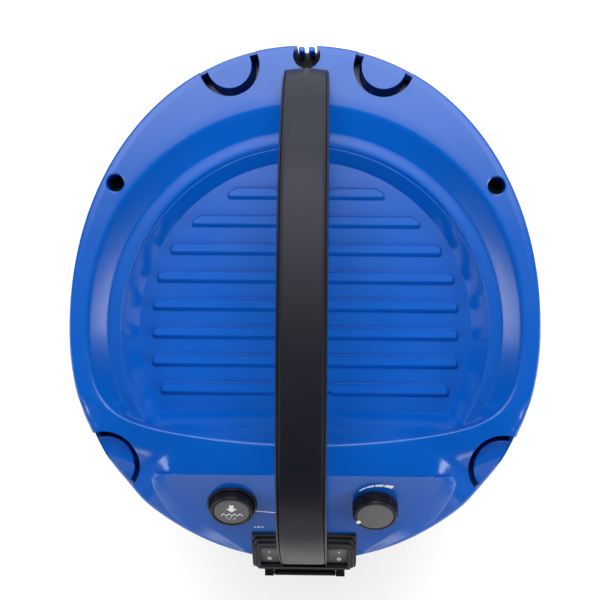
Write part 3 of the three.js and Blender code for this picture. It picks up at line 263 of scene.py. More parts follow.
def lathe(profile, segments=96, matrix=None, closed=False):
    """Points and faces of a profile of (radius, height) turned round +Z."""
    points, rows = [], []
    for radius, height in profile:
        length = 1 if radius < TINY else segments
        rows.append((len(points), length))
        for i in range(length):
            angle = 2 * math.pi * i / segments
            points.append((radius * math.cos(angle), radius * math.sin(angle), height))
    faces = bridge(rows + (rows[:1] if closed else []), segments)
    return moved(points, matrix), faces


def disc(radius, low, high, segments=96, matrix=None):
    return lathe([(0, low), (radius, low), (radius, high), (0, high)], segments, matrix)


def box_mesh(low, high, matrix=None):
    (x0, y0, z0), (x1, y1, z1) = low, high
    points = [(x, y, z) for x in (x0, x1) for y in (y0, y1) for z in (z0, z1)]
    faces = [(0, 1, 3, 2), (4, 6, 7, 5), (0, 4, 5, 1), (2, 3, 7, 6), (0, 2, 6, 4), (1, 5, 7, 3)]
    return moved(points, matrix), faces


def stack(loops, matrix=None, capped=True):
    """Loops of points, each loop joined to the next; capped at both ends, or joined in a ring."""
    count = len(loops[0])
    points = [p for loop in loops for p in loop]
    rows = [(k * count, count) for k in range(len(loops))]
    faces = bridge(rows if capped else rows + rows[:1], count)
    if capped:
        faces.append(tuple(reversed(range(count))))
        faces.append(tuple(range(len(points) - count, len(points))))
    return moved(points, matrix), faces


def prism(outline, d0, d1, matrix=None):
    """A closed outline pushed from height d0 to d1."""
    return stack([[(a, b, d0) for a, b in outline], [(a, b, d1) for a, b in outline]], matrix)


def cut(piece, part, operation="DIFFERENCE"):
    """Cuts a closed shape, given as (points, faces) or as a helper object, out of a piece."""
    tool = new_object("cutter", part) if isinstance(part, tuple) else part
    modifier = piece.modifiers.new("cut", "BOOLEAN")
    modifier.operation = operation
    modifier.solver = "MANIFOLD"
    modifier.object = tool
    graph = bpy.context.evaluated_depsgraph_get()
    done = bpy.data.meshes.new_from_object(piece.evaluated_get(graph))
    piece.modifiers.clear()
    piece.data = done
    bpy.data.objects.remove(tool)


def clip(piece, part):
    cut(piece, part, "INTERSECT")


def bevel(piece, width, segments=3, angle=40):
    modifier = piece.modifiers.new("edges", "BEVEL")
    modifier.width = width * MM
    modifier.segments = segments
    modifier.limit_method = "ANGLE"
    modifier.angle_limit = math.radians(angle)


def cad_node(name, material, edge=0.0, angle=30):
    """A CAD node that is kept: it gets a material, soft edges and smooth shading."""
    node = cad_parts[name]
    node.data.materials.clear()
    node.data.materials.append(material)
    shade(node, 180)
    weld = node.modifiers.new("weld", "WELD")
    weld.merge_threshold = 0.004 * MM
    if edge:
        bevel(node, edge, 2, angle)
    split = node.modifiers.new("split", "EDGE_SPLIT")
    split.split_angle = math.radians(angle)
    split.use_edge_sharp = False


# The panel's own frame: across, up the slope, and out of it.
panel = Matrix.Translation((0, PANEL_TOP_Y, PANEL_TOP_Z)) @ Matrix.Rotation(PANEL_TILT, 4, "X")
ALONG_Y = Matrix(((0, 1, 0, 0), (0, 0, 1, 0), (1, 0, 0, 0), (0, 0, 0, 1)))
SIDES = ((-1, "left"), (1, "right"))


def on_panel(u, v, n=0.0):
    return panel @ Matrix.Translation((u, v, n))


# ------------------------------------------------------------------ head cover
def egg(angle, inset=0.0):
    """The outline's radius in each direction: a different squarish oval behind the axis and in front of it."""
    rear = np.sin(angle) >= 0
    power = np.where(rear, REAR_POWER, FRONT_POWER)
    reach = np.where(rear, REAR_REACH, FRONT_REACH) - inset
    side = np.abs(np.cos(angle)) / (HALF_WIDTH - inset)
    front = np.abs(np.sin(angle)) / reach
    return (side**power + front**power) ** (-1 / power)


def smooth_min(a, b, width):
    share = np.maximum(width - np.abs(a - b), 0) / width
    return np.minimum(a, b) - share * share * width / 4


def front_line(angle, reach, bow):
    """The distance in each direction to a line across the front, bowed forwards in its middle."""
    along = np.maximum(-np.sin(angle), TINY)
    across = np.maximum(bow * np.cos(angle) ** 2, 1e-9)
    radius = (np.sqrt(along * along + 4 * across * reach) - along) / (2 * across)
    return np.where(np.sin(angle) < -1e-3, np.minimum(radius, 4 * reach), 4 * reach)


def ease(value, start, end):
    share = np.clip((value - start) / (end - start), 0, 1)
    return share * share * (3 - 2 * share)


def soften(values, reach=12):
    """A running mean along the directions, so that no crease runs out from the middle."""
    padded = np.pad(values, reach, mode="wrap")
    return np.convolve(padded, np.ones(2 * reach + 1) / (2 * reach + 1), "valid")


def head_angles():
    fine = np.radians(np.arange(-155, -25, 0.25))
    coarse = np.radians(np.arange(-25, 205, 0.5))
    return np.concatenate([fine, coarse])


STRAIGHT_TO = (106, 132)     # how far out the panel's straight top edge runs before it turns down


def head_controls(angle):
    """The outer surface's corner points in each direction, from skirt foot to tray, and their fillets."""
    outer = egg(angle)
    edge = outer - RIM_INSET
    ridge_line = front_line(angle, RIDGE_REACH, RIDGE_BOW)
    ridge = smooth_min(outer - SKIRT_DRAFT, ridge_line, RIDGE_BLEND)
    run = np.maximum(outer - SKIRT_DRAFT - ridge, 0)
    straight = front_line(angle, -PANEL_TOP_Y, 0) - ridge
    across = np.abs(-PANEL_TOP_Y / np.tan(np.minimum(angle, -1e-3)))
    straight_share = np.where(np.sin(angle) < -0.3, 1 - ease(across, *STRAIGHT_TO), 0)
    hood = np.minimum(run, HOOD_RUN + (np.clip(straight, 0, 60) - HOOD_RUN) * straight_share)
    hood = np.minimum(run, soften(hood))
    hood_drop = HOOD_DROP * np.minimum(hood / HOOD_RUN, 1)
    cove = smooth_min(np.full_like(outer, COVE_RADIUS), ridge - 3, 20)
    ledge = front_line(angle, LEDGE_FRONT, LEDGE_FRONT_BOW)
    ledge_out = np.minimum(np.minimum(LEDGE_RADIUS, ledge), cove - 0.6)
    ledge_in = np.minimum(np.minimum(TRAY_TOP_RADIUS, ledge), ledge_out - 0.05)
    floor = np.minimum(np.minimum(TRAY_FOOT_RADIUS, front_line(angle, TRAY_FRONT, 0)), ledge_in - 1)
    full = ease(run, 0, 9)
    rim_z = DECK - 0.3 - (hood_drop + CORNER_FALL * (edge - ridge - hood)) * full
    knee = ridge + hood - 0.6 * (1 - full)
    crest = ridge - 2.0 * (1 - full)
    corners = [(outer, FOOT), (edge, rim_z), (knee, DECK - 0.1 - hood_drop * full), (crest, DECK),
               (np.minimum(cove, ridge - 3), DECK), (ledge_out, DECK - LEDGE_DROP),
               (ledge_in, DECK - LEDGE_DROP), (floor, FLOOR)]
    knee_fillet = 1.6 + KNEE_FILLET * soften((1 - straight_share) * full)
    points = [np.stack([radius, np.broadcast_to(height, radius.shape)], -1) for radius, height in corners]
    return points, [0, 3.4, knee_fillet[:, None], 1.4, 2.5, 0.8, 0.9, 2.2]


def sample_path(controls, fillets, steps):
    """Rings of samples along the corner points: each corner is rounded and each stretch is divided."""
    rings = [controls[0]]
    last = len(controls) - 1
    for k in range(1, len(controls)):
        before, here = controls[k - 1], controls[k]
        after = controls[min(k + 1, last)]
        length = np.linalg.norm(here - before, axis=1, keepdims=True) + 1e-9
        next_length = np.linalg.norm(after - here, axis=1, keepdims=True) + 1e-9
        reach = 0 if k == last else np.minimum(np.minimum(fillets[k], 0.45 * length), 0.45 * next_length)
        start = rings[-1]
        end = here - (here - before) / length * reach
        for i in range(1, steps[k] + 1):
            rings.append(start + (end - start) * (i / steps[k]))
        if k < last:
            leave = here + (after - here) / next_length * reach
            rings.extend(curve(end, here, leave, i / 5) for i in range(1, 6))
    return rings


# Half the panel's width, inside and outside its chamfer, as (distance ahead of the axis, half-width).
PANEL_INNER = [(118.7, 110), (125, 110), (135, 107.6), (146.8, 99.7), (155.4, 91), (186, 52.5), (205, 30)]
PANEL_OUTER = [(118.7, 121), (124.6, 124.6), (132.6, 123), (149.3, 115), (157.7, 110), (195, 61.6), (205, 50)]
CHAMFER_EASE = 0.12


def panel_surface(x, y, z):
    """The panel's flat, let into the front slope with a chamfer all along its sides."""
    ahead = -y
    plane = PANEL_TOP_Z - math.tan(PANEL_TILT) * (ahead + PANEL_TOP_Y)
    inner = np.interp(ahead, *zip(*PANEL_INNER))
    outer = np.interp(ahead, *zip(*PANEL_OUTER))
    share = np.clip((np.abs(x) - inner) / (outer - inner), 0, 1)
    foot, brow = share**2 / (2 * CHAMFER_EASE), 1 - (1 - share) ** 2 / (2 * CHAMFER_EASE)
    middle = share - CHAMFER_EASE / 2
    rise = np.where(share < CHAMFER_EASE, foot, np.where(share > 1 - CHAMFER_EASE, brow, middle))
    inside = (ahead > -PANEL_TOP_Y) & (rise < 1)
    return np.where(inside, plane + (z - plane) * np.clip(rise, 0, 1), z)


RING_STEPS = [0, 8, 96, 12, 4, 10, 3, 8]


def outer_rings():
    """Rings of points over the cover's whole outer surface, from the skirt's foot in to the tray's middle."""
    angle = head_angles()
    cos, sin = np.cos(angle), np.sin(angle)
    controls, fillets = head_controls(angle)
    rings = sample_path(controls, fillets, RING_STEPS)
    points = []
    for ring in rings:
        x, y, z = ring[:, 0] * cos, ring[:, 0] * sin, ring[:, 1]
        on_slope = (z < DECK - 3) & (z > FOOT + 3.5) & (y < PANEL_TOP_Y + 0.05)
        z = np.where(on_slope, panel_surface(x, y, z), z)
        points.append(np.stack([x, y, np.maximum(z, FOOT)], -1))
    for share in (0.75, 0.5, 0.25):
        radius = rings[-1][:, 0] * share
        points.append(np.stack([radius * cos, radius * sin, np.full(len(angle), FLOOR)], -1))
    return points


def inner_rings():
    """The same surface a wall's thickness further in, from the tray's middle out to the skirt's foot."""
    angle = head_angles()
    cos, sin = np.cos(angle), np.sin(angle)
    rings = []
    for control in reversed(head_controls(angle)[0]):
        radius, height = control[:, 0] - SKIRT_WALL, control[:, 1] - SHELL_WALL
        if len(rings) == len(RING_STEPS) - 1:
            height = np.full_like(radius, FOOT)
        x, y = radius * cos, radius * sin
        under_panel = np.minimum(height, panel_surface(x, y, height + SHELL_WALL) - SHELL_WALL - 1)
        z = np.where(y < PANEL_TOP_Y, under_panel, height)
        rings.append(np.stack([x, y, np.maximum(z, FOOT)], -1))
    return rings


def joined(rings):
    """All the rings' points, and where each ring starts and how long it is."""
    rows, total = [], 0
    for ring in rings:
        rows.append((total, len(ring)))
        total += len(ring)
    return np.concatenate(rings), rows


def body_mesh(drop):
    """The head's outer shape as one block, lowered by drop: it trims the pieces set into the cover."""
    rings = [np.array([[0, 0, FOOT]])] + outer_rings() + [np.array([[0, 0, FLOOR]])]
    points, rows = joined(rings)
    return points - [0, 0, drop], bridge(rows, len(rings[1]))


def cover_mesh():
    """The cover as a shell: the outer surface, the inner one, and the skirt's foot between them."""
    middle = [np.array([[0, 0, FLOOR]]), np.array([[0, 0, FLOOR - SHELL_WALL]])]
    outside = outer_rings()
    points, rows = joined(outside + middle + inner_rings())
    return points, bridge(rows + rows[:1], len(outside[0]))


# Each pocket: x, y, its radius, its boss's radius, and how far the boss's top lies below the deck.
POCKETS = {"rear": (62, 209.6, 24.4, 18, 0), "front": (160.4, -112, 27.2, 22.4, 22)}
POCKET_FLOOR = 50            # the pockets' floor below the deck
POCKET_STEP = 5              # the full round cut ends this far below the boss's top
OVER = 5                     # how far the clipping blocks and cutters stick out past the head
RIM_SKIN = 2.6               # how far below the deck the set-in walls stop
SCREWS = (152.6, 115)
SCREW_HOLE = 7
SCREW_SEAT = 30
NOTCH_Y = 218.6
NOTCH_RADIUS = 11
NOTCH_DEPTH = 46
NOTCH_TABS = ((1.6, 6.4), (5.5, 1.6), (40, 2))      # across, in from the rear end, below the deck
GLAND = (62, 26)
GLAND_HOLE = 8.3
BUTTON_HOLE = 18.4
SPINDLE_HOLE = 4
SWITCH_CUT = ((-41.3, -160, -40), (41.3, -83.2, 20))
LATCH_WELL = (172, 200, 24, 12)
CLEAR = 20                   # how far cutters reach past what they cut
HAIR = 0.05
SHELL_ANGLE = 32
RIB_COUNT = 8
RIB_FIRST_Y = 109.3
RIB_PITCH = 22.8
RIB_HALF = 5.2
RIB_RISE = 4.6
RIB_FIELD = (125.6, 124.6)   # the radius that the ribs' ends follow, and the longest rib's half length
HANDLE_KEEP = 24             # half the width left free for the handle at the first and last rib


def egg_outline(inset, count=360):
    angles = np.linspace(0, 2 * math.pi, count, endpoint=False)
    radius = egg(angles, inset)
    return list(zip(radius * np.cos(angles), radius * np.sin(angles)))


def outline_block(inset):
    return prism(egg_outline(inset), FOOT, DECK + OVER)


def blue_part(name, part, inset=None):
    """A piece of the cover, cut off along the outline where it would stick out."""
    piece = make(name, part, BLUE, "head", SHELL_ANGLE)
    if inset is not None:
        clip(piece, outline_block(inset))
        shade(piece, SHELL_ANGLE)
    return piece


def cut_pockets(cover, side):
    for x, y, radius, _, sink in POCKETS.values():
        place = Matrix.Translation((side * x, y, 0))
        top = DECK - sink - POCKET_STEP
        deep = new_object("cutter", disc(radius, DECK - POCKET_FLOOR, top + 1, 96, place))
        clip(deep, outline_block(SKIRT_WALL))
        cut(cover, deep)
        cut(cover, disc(radius, top, DECK + CLEAR, 96, place))


def build_cover():
    cover = make("cover_shell", cover_mesh(), BLUE, "head", 50)
    near, far, well_half, well_height = LATCH_WELL
    for side in (-1, 1):
        cut_pockets(cover, side)
        place = Matrix.Translation((side * SCREWS[0], SCREWS[1], 0))
        cut(cover, disc(SCREW_HOLE + 1, FOOT - OVER, DECK + 9, 64, place))
        x0, x1 = sorted((side * near, side * far))
        cut(cover, box_mesh((x0, -well_half, FOOT - 1), (x1, well_half, FOOT + well_height)))
    cut(cover, disc(BUTTON_HOLE, -CLEAR, CLEAR, 72, on_panel(-CONTROL_X, CONTROL_V)))
    cut(cover, disc(SPINDLE_HOLE, -CLEAR, CLEAR, 32, on_panel(CONTROL_X, CONTROL_V)))
    cut(cover, disc(NOTCH_RADIUS, DECK - NOTCH_DEPTH, DECK + 9, 72, Matrix.Translation((0, NOTCH_Y, 0))))
    gland = Matrix.Translation((GLAND[0], 0, FOOT + GLAND[1])) @ ALONG_Y
    cut(cover, disc(GLAND_HOLE, REAR_REACH - 37, REAR_REACH + 23, 40, gland))
    cut(cover, box_mesh(*SWITCH_CUT, panel))
    shade(cover, SHELL_ANGLE)
    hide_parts("head_cover")


def build_pockets():
    """The round pockets' walls and the low bosses in them, cut off along the head's outline."""
    floor = DECK - POCKET_FLOOR
    skin = DECK - RIM_SKIN
    for label, (x, y, radius, boss, sink) in POCKETS.items():
        top = DECK - sink
        wall = radius - HAIR
        profile = [(0, floor - 3), (radius + 2, floor - 3), (radius + 2, skin), (wall, skin), (wall, floor),
                   (boss + 0.6, floor), (boss, top), (0, top)]
        path = rounded(profile, [0, 0.5, 0, 0, 0.4, 0.8, 1.4, 0], 4)
        for side, word in SIDES:
            part = lathe(path, 96, Matrix.Translation((side * x, y, 0)))
            piece = blue_part(f"cover_boss_{label}_{word}", part, SKIRT_WALL - 0.4)
            clip(piece, body_mesh(0.4))
            shade(piece, SHELL_ANGLE)


def build_screw_tubes():
    """The deep holes for the cover's screws, each a tube let into the deck beside the rim."""
    hole, top, seat = SCREW_HOLE, DECK - 0.3, FOOT + SCREW_SEAT
    tube = [(hole, FOOT + 12), (hole + 1.6, FOOT + 12), (hole + 1.6, top - 0.8), (hole + 1, top),
            (hole, top - 0.7)]
    washer = [(0, seat), (hole + 0.5, seat), (hole + 0.5, seat + 4), (4.6, seat + 4), (4.2, seat + 3),
              (0, seat + 3)]
    for side, word in SIDES:
        place = Matrix.Translation((side * SCREWS[0], SCREWS[1], 0))
        blue_part(f"screw_tube_{word}", lathe(tube, 64, place, closed=True), -RIM_INSET)
        make(f"screw_seat_{word}", lathe(washer, 48, place), HOUSING, "head", SHELL_ANGLE)


def build_notch():
    """The round pocket behind the handle: its wall, its floor and the two low tabs at the rim."""
    place = Matrix.Translation((0, NOTCH_Y, 0))
    near, far = NOTCH_RADIUS - HAIR, NOTCH_RADIUS + 2
    low, skin = DECK - NOTCH_DEPTH, DECK - RIM_SKIN
    wall = [(near, low), (far, low), (far, skin), (near, skin)]
    blue_part("rear_notch_wall", lathe(wall, 72, place, closed=True), 2.0)
    bottom = disc(NOTCH_RADIUS + 1, low, low + 3, 72, place)
    floor = make("rear_notch_floor", bottom, HOUSING, "head", SHELL_ANGLE)
    clip(floor, outline_block(2.0))
    shade(floor, SHELL_ANGLE)
    across, ahead, below = NOTCH_TABS
    for side, word in SIDES:
        x0, x1 = sorted((side * across[0], side * across[1]))
        tab = box_mesh((x0, REAR_REACH - ahead[0], DECK - below[0]), (x1, REAR_REACH - ahead[1], DECK - below[1]))
        bevel(blue_part(f"rear_notch_tab_{word}", tab), 1.0, 3)


def rib_outline(index, y, half):
    """A rib from above: its rear corners are cut off, and the first and last leave room for the handle."""
    rear, front = y + RIB_HALF, y - RIB_HALF
    keep, keep_in = HANDLE_KEEP, HANDLE_KEEP - 4
    cut_off = 7 if index < 2 else 4
    outline = [(half, front), (half, rear - cut_off * 0.75), (half - cut_off, rear)]
    radii = [2.4, 2.0, 1.6]
    if index == 0:
        outline += [(keep, rear), (keep_in, rear - 3)]
        radii += [1, 1]
    mirrored = [(-a, b) for a, b in reversed(outline)]
    last = index == RIB_COUNT - 1
    notch = [(-keep, front), (-keep_in, front + 3), (keep_in, front + 3), (keep, front)] if last else []
    return rounded(outline + mirrored + notch, radii + radii[::-1] + [1] * len(notch), 4, closed=True)


def build_ribs():
    """Low rounded bars across the tray, steeper behind than in front."""
    levels = [(0, 0, -1.0), (0, 0, 0.2), (0.25, 0.5, 1.8), (0.8, 1.5, 3.0), (1.6, 2.8, RIB_RISE)]
    for index in range(RIB_COUNT):
        y = RIB_FIRST_Y - RIB_PITCH * index
        half = min(math.sqrt(RIB_FIELD[0] ** 2 - y * y) + 2.5, RIB_FIELD[1])
        loops = []
        for rear_inset, front_inset, height in levels:
            shrink = (half - rear_inset) / half
            loop = []
            for a, b in rib_outline(index, y, half):
                inset = rear_inset if b > y else front_inset
                loop.append((a * shrink, y + (b - y) * (1 - inset / RIB_HALF), FLOOR + height))
            loops.append(loop)
        make(f"tray_rib_{index + 1}", stack(loops), BLUE, "head", 24)


# ------------------------------------------------------------------ handle
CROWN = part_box("handle_cap")[1].z / MM
HANDLE_KNOTS = [(-200.5, DECK - 84), (-192, DECK - 28), (-163, DECK + 44), (-105, CROWN - 13), (0, CROWN),
                (105, CROWN - 9), (165, CROWN - 38), (198, CROWN - 72), (209.5, DECK - 4)]
HANDLE_STEPS = 150
HANDLE_HALF = 18.2
HANDLE_SWELL = 1.6
CAP_GAP = 2.1


def handle_path(count):
    """The handle's top line from front to rear, a smooth curve through its knots."""
    knots = np.array(HANDLE_KNOTS, float)
    last = len(knots) - 1
    path = []
    for step in range(count + 1):
        along = last * step / count
        i = min(int(along), last - 1)
        t = along - i
        p0, p1, p2, p3 = knots[max(i - 1, 0)], knots[i], knots[i + 1], knots[min(i + 2, last)]
        v0, v1 = (p2 - p0) / 2, (p3 - p1) / 2
        cubic, square = 2 * p1 - 2 * p2 + v0 + v1, -3 * p1 + 3 * p2 - 2 * v0 - v1
        path.append(cubic * t**3 + square * t**2 + v0 * t + p1)
    return np.array(path)


def sweep(section_at, count=HANDLE_STEPS):
    """A section of (across, depth) points carried along the handle's top line."""
    path = handle_path(count)
    tangents = np.gradient(path, axis=0)
    tangents /= np.linalg.norm(tangents, axis=1, keepdims=True)
    loops = []
    for i, (point, tangent) in enumerate(zip(path, tangents)):
        loops.append([(across, point[0] + tangent[1] * depth, point[1] - tangent[0] * depth)
                      for across, depth in section_at(i / count)])
    return stack(loops)


def handle_half(share):
    """Half the handle's width: the grip and the front are a little wider than the rear end."""
    return HANDLE_HALF + HANDLE_SWELL * float(ease(1 - share, 0.02, 0.45))


def frame_section(share):
    half = handle_half(share)
    groove = half - 1.7
    lip = half - 1.2
    corners = [(-lip, 1.2), (-groove, 1.2), (-groove, 7.3), (groove, 7.3), (groove, 1.2), (lip, 1.2),
               (half, 4), (half - 0.8, 22), (half - 5, 29), (-half + 5, 29), (-half + 0.8, 22), (-half, 4)]
    radii = [0.7, 0.3, 0.4, 0.4, 0.3, 0.7, 1.8, 5, 4, 4, 5, 1.8]
    return rounded(corners, radii, 4, closed=True)


def cap_section(share):
    """The cap's top is crowned, and towards the grip two flat facets run out from its middle."""
    half = handle_half(share) - CAP_GAP
    spread = half * (0.12 + 0.72 * float(ease(1 - share, 0.1, 0.36)))
    facet = float(ease(1 - share, 0.07, 0.2))
    dip = (0.2 + 1.5 * facet) * 0.35
    corners = [(-half, 1.6), (-spread, dip), (0, 0.1 + 0.5 * facet), (spread, dip), (half, 1.6),
               (half, 7), (-half, 7)]
    return rounded(corners, [0.8, 1.5, 6, 1.5, 0.8, 0.3, 0.3], 5, closed=True)


def build_handle():
    shell = make("handle_shell", sweep(frame_section), HANDLE, "head", 40)
    top = make("handle_top", sweep(cap_section), HANDLE, "head", 40)
    for piece in (shell, top):
        cut(piece, box_mesh((-60, 0, DECK - 60), (60, 260, DECK + 0.3)))
        cut(piece, box_mesh((-60, -170, -60), (60, 40, 4.3), panel))
        shade(piece, 40)
    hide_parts("handle_frame")
    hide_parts("handle_cap")


# ------------------------------------------------------------------ controls
BUTTON_RADIUS = 18
BUTTON_RISE = 9.6
BUTTON_FACE = 14.7
BUTTON_MARK = (9.1, 9.32)
KNOB_RADIUS = 18.5
KNOB_FLUTES = 24
FLUTE_SAMPLES = 8
FLUTE_DEPTH = 0.9
KNOB_GRIP_TOP = 9.4
KNOB_RISE = 12.4
POINTER_ANGLE = math.radians(207)
POINTER_REACH = 15.2
SCALE_ANGLES = (math.radians(127), math.radians(57))
SCALE_MARKS = 4
SCALE_SAMPLES = 8
RAISED = (-0.1, 0.12)        # printed marks: from just under the panel's face to just above it
INK = (-0.1, 0.14)


def button_piece(name, part):
    return make(name, part, WHITE, "filter_button", 30)


def build_button():
    place = on_panel(-CONTROL_X, CONTROL_V)
    rise, radius = BUTTON_RISE, BUTTON_RADIUS
    body = [(0, rise - 1), (14.9, rise - 1), (15.5, rise), (17.0, rise), (radius, 8.4), (radius, -4), (15.5, -4),
            (15.5, 5.5), (4, 5.5), (4, -CLEAR), (0, -CLEAR)]
    path = rounded(body, [0, 0.3, 0.4, 0.8, 0.8, 0.3, 0.3, 0.3, 0.3, 0.5, 0], 4)
    button = make("filter_button_cap", lathe(path, 96, place), BLACK, "filter_button", 35)
    face = [(0, 8.3), (BUTTON_FACE, 8.3), (BUTTON_FACE, 8.9), (BUTTON_FACE - 0.4, 9.2), (0, 9.2)]
    disk = lathe(rounded(face, [0, 0.1, 0.4, 0.4, 0], 3), 96, place)
    make("filter_button_face", disk, CONTROL, "filter_button", 35)
    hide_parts("filter_button")
    ring = [(18.4, -3), (19.3, -3), (19.3, 0.1), (20.6, 0.1), (20.3, 2.4), (18.7, 2.4)]
    part = lathe(rounded(ring, 0.5, 3, closed=True), 96, place, closed=True)
    rim = make("filter_button_rim", part, BLACK, "head", 35)
    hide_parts("button_ring")
    arrow = [(-2.2, 9), (2.2, 9), (2.2, 4), (5.4, 4), (0, -1.2), (-5.4, 4), (-2.2, 4)]
    arrow = [(a * 0.85, b * 0.85 + 1.0) for a, b in arrow]
    button_piece("button_mark_arrow", prism(arrow, *BUTTON_MARK, place))
    teeth = [(-9 + 18 * i / 8, -3.2 + (1.3 if i % 2 else -1.3)) for i in range(9)]
    zigzag = [(a, b + 0.5) for a, b in teeth] + [(a, b - 0.5) for a, b in reversed(teeth)]
    button_piece("button_mark_zigzag", prism(zigzag, *BUTTON_MARK, place))
    for i, (a, b) in enumerate([(-4, -7), (-0.6, -6.4), (2.8, -7.2), (-2.2, -8.8), (1.4, -9)]):
        dot = disc(0.55, *BUTTON_MARK, 12, place @ Matrix.Translation((a, b, 0)))
        button_piece(f"button_mark_dot_{i + 1}", dot)


def fluted_outline():
    outline = []
    for i in range(KNOB_FLUTES * FLUTE_SAMPLES):
        phase = (i % FLUTE_SAMPLES) / FLUTE_SAMPLES
        radius = KNOB_RADIUS - (FLUTE_DEPTH if phase > 0.62 else 0.0)
        angle = 2 * math.pi * i / (KNOB_FLUTES * FLUTE_SAMPLES)
        outline.append((radius * math.cos(angle), radius * math.sin(angle)))
    return outline


def build_scale(place):
    """Four marks in an arc behind the knob, each wider and further out than the one before."""
    start, end = SCALE_ANGLES
    for k in range(SCALE_MARKS):
        a0 = start + (end - start) * (k + 0.06) / SCALE_MARKS
        a1 = start + (end - start) * (k + 0.94) / SCALE_MARKS
        outer, inner = [], []
        for i in range(SCALE_SAMPLES + 1):
            t = i / SCALE_SAMPLES
            angle = a0 + (a1 - a0) * t
            along = (k + t) / SCALE_MARKS
            near, width = 21.6 + 3.2 * along, 0.8 + 2.6 * along
            outer.append(((near + width) * math.cos(angle), (near + width) * math.sin(angle)))
            inner.append((near * math.cos(angle), near * math.sin(angle)))
        mark = prism(outer + inner[::-1], *RAISED, place)
        make(f"scale_mark_{k + 1}", mark, WHITE, "head", 30)


def build_knob():
    place = on_panel(CONTROL_X, CONTROL_V)
    low, rise = KNOB_RISE - 0.6, KNOB_RISE
    grip = make("power_knob_grip", prism(fluted_outline(), 0.6, KNOB_GRIP_TOP, place), BLACK, "power_knob", 30)
    crown = [(0, 2), (17.8, 2), (17.8, 10.8), (17.0, rise), (15.6, rise), (15.1, low), (0, low)]
    path = rounded(crown, [0, 0.2, 1.2, 0.8, 0.4, 0.3, 0], 4)
    make("power_knob_crown", lathe(path, 96, place), BLACK, "power_knob", 35)
    face = rounded([(0, low - 0.2), (14.9, low - 0.2), (14.9, rise - 0.1), (0, rise - 0.1)], [0, 0.2, 0.4, 0], 3)
    make("power_knob_face", lathe(face, 96, place), CONTROL, "power_knob", 35)
    spot = (POINTER_REACH * math.cos(POINTER_ANGLE), POINTER_REACH * math.sin(POINTER_ANGLE), 0)
    dot = rounded([(0, low + 0.2), (1.9, low + 0.2), (1.9, rise + 0.3), (0, rise + 0.3)], [0, 0.1, 0.3, 0], 3)
    pointer = lathe(dot, 32, place @ Matrix.Translation(spot))
    make("power_knob_pointer", pointer, WHITE, "power_knob", 30)
    make("power_knob_spindle", disc(3, -15, 3, 24, place), STEEL, "power_knob", 30)
    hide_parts("power_knob")
    build_scale(place)


def ring_prism(half_u, half_v, width, d0, d1, matrix):
    """A flat rounded frame of the given width, as one closed loop."""
    corners = [(-half_u, -half_v), (half_u, -half_v), (half_u, half_v), (-half_u, half_v)]
    outer = rounded(corners, 2.0, 4, closed=True)
    shrunk = [(a * (1 - width / half_u), b * (1 - width / half_v)) for a, b in corners]
    inner = rounded(shrunk, 1.2, 4, closed=True)
    brow = [p * (1 - 0.4 / half_u) for p in outer]
    levels = [(outer, d0), (outer, d1 - 0.4), (brow, d1), (inner, d1), (inner, d0)]
    return stack([[(p[0], p[1], d) for p in loop] for loop, d in levels], matrix, capped=False)


BEZEL_STEPS = ((43.6, -73.0, 2.4), (41.3, -76.6, 4.6), (39.2, -80.2, 6.4))
BEZEL_WIDTH = 2.9
ROCKER_RIM = (12.2, 13.2, 1.7)
MARK_OFFSET = 5.2            # the marks' distance from the rocker's middle, and their height above its pivot
MARK_RISE = 4.35
MARK_SKIN = (-0.4, 0.16)


def build_switches():
    """The bezel in three steps, a rim round each rocker, and a bar and a ring marked on each."""
    cad_node("switch_bezel", BLACK, 0.7)
    for step, (half_u, rear_v, top) in enumerate(BEZEL_STEPS):
        middle, half_v = (rear_v + BEZEL_FOOT_V) / 2, (rear_v - BEZEL_FOOT_V) / 2
        rim = ring_prism(half_u, half_v, BEZEL_WIDTH, -0.2 + 0.1 * step, top, on_panel(0, middle))
        make(f"switch_bezel_rim_{step + 1}", rim, BLACK, "head", 35)
    for side, word in SIDES:
        cad_node(f"rocker_{word}", CONTROL, 0.5)
        place = on_panel(side * ROCKER_X, ROCKER_V)
        rim = ring_prism(*ROCKER_RIM, BEZEL_RISE - 0.6, BEZEL_RISE + 1.6, place)
        make(f"switch_rim_{word}", rim, BLACK, "head", 35)
        lean = place @ Matrix.Translation((0, 0, PIVOT_N)) @ Matrix.Rotation(ROCKER_LEAN, 4, "X")
        for end, label in ((1, "on"), (-1, "off")):
            shift = Matrix.Translation((0, end * MARK_OFFSET, MARK_RISE))
            facet = lean @ shift @ Matrix.Rotation(end * ROCKER_LEAN, 4, "X")
            low, high = MARK_SKIN
            bar = box_mesh((-0.45, -1.7, low), (0.45, 1.7, high), facet)
            ring = lathe([(1.0, low), (1.75, low), (1.75, high), (1.0, high)], 28, facet, closed=True)
            mark = bar if end > 0 else ring
            make(f"rocker_mark_{word}_{label}", mark, WHITE, f"rocker_{word}", 30)


def build_panel_marks():
    """The thin white rule beside the button and the three short dashes under it."""
    rule = prism([(-40.6, -45.4), (-20, -47.6), (-20, -46.7), (-40.6, -44.5)], *INK, panel)
    make("panel_rule", rule, WHITE, "head", 30)
    for i in range(3):
        u = -41.4 + 3.0 * i
        dash = prism([(u, -66.2), (u + 1.8, -66.4), (u + 1.8, -65.1), (u, -64.9)], *INK, panel)
        make(f"panel_dash_{i + 1}", dash, WHITE, "head", 30)


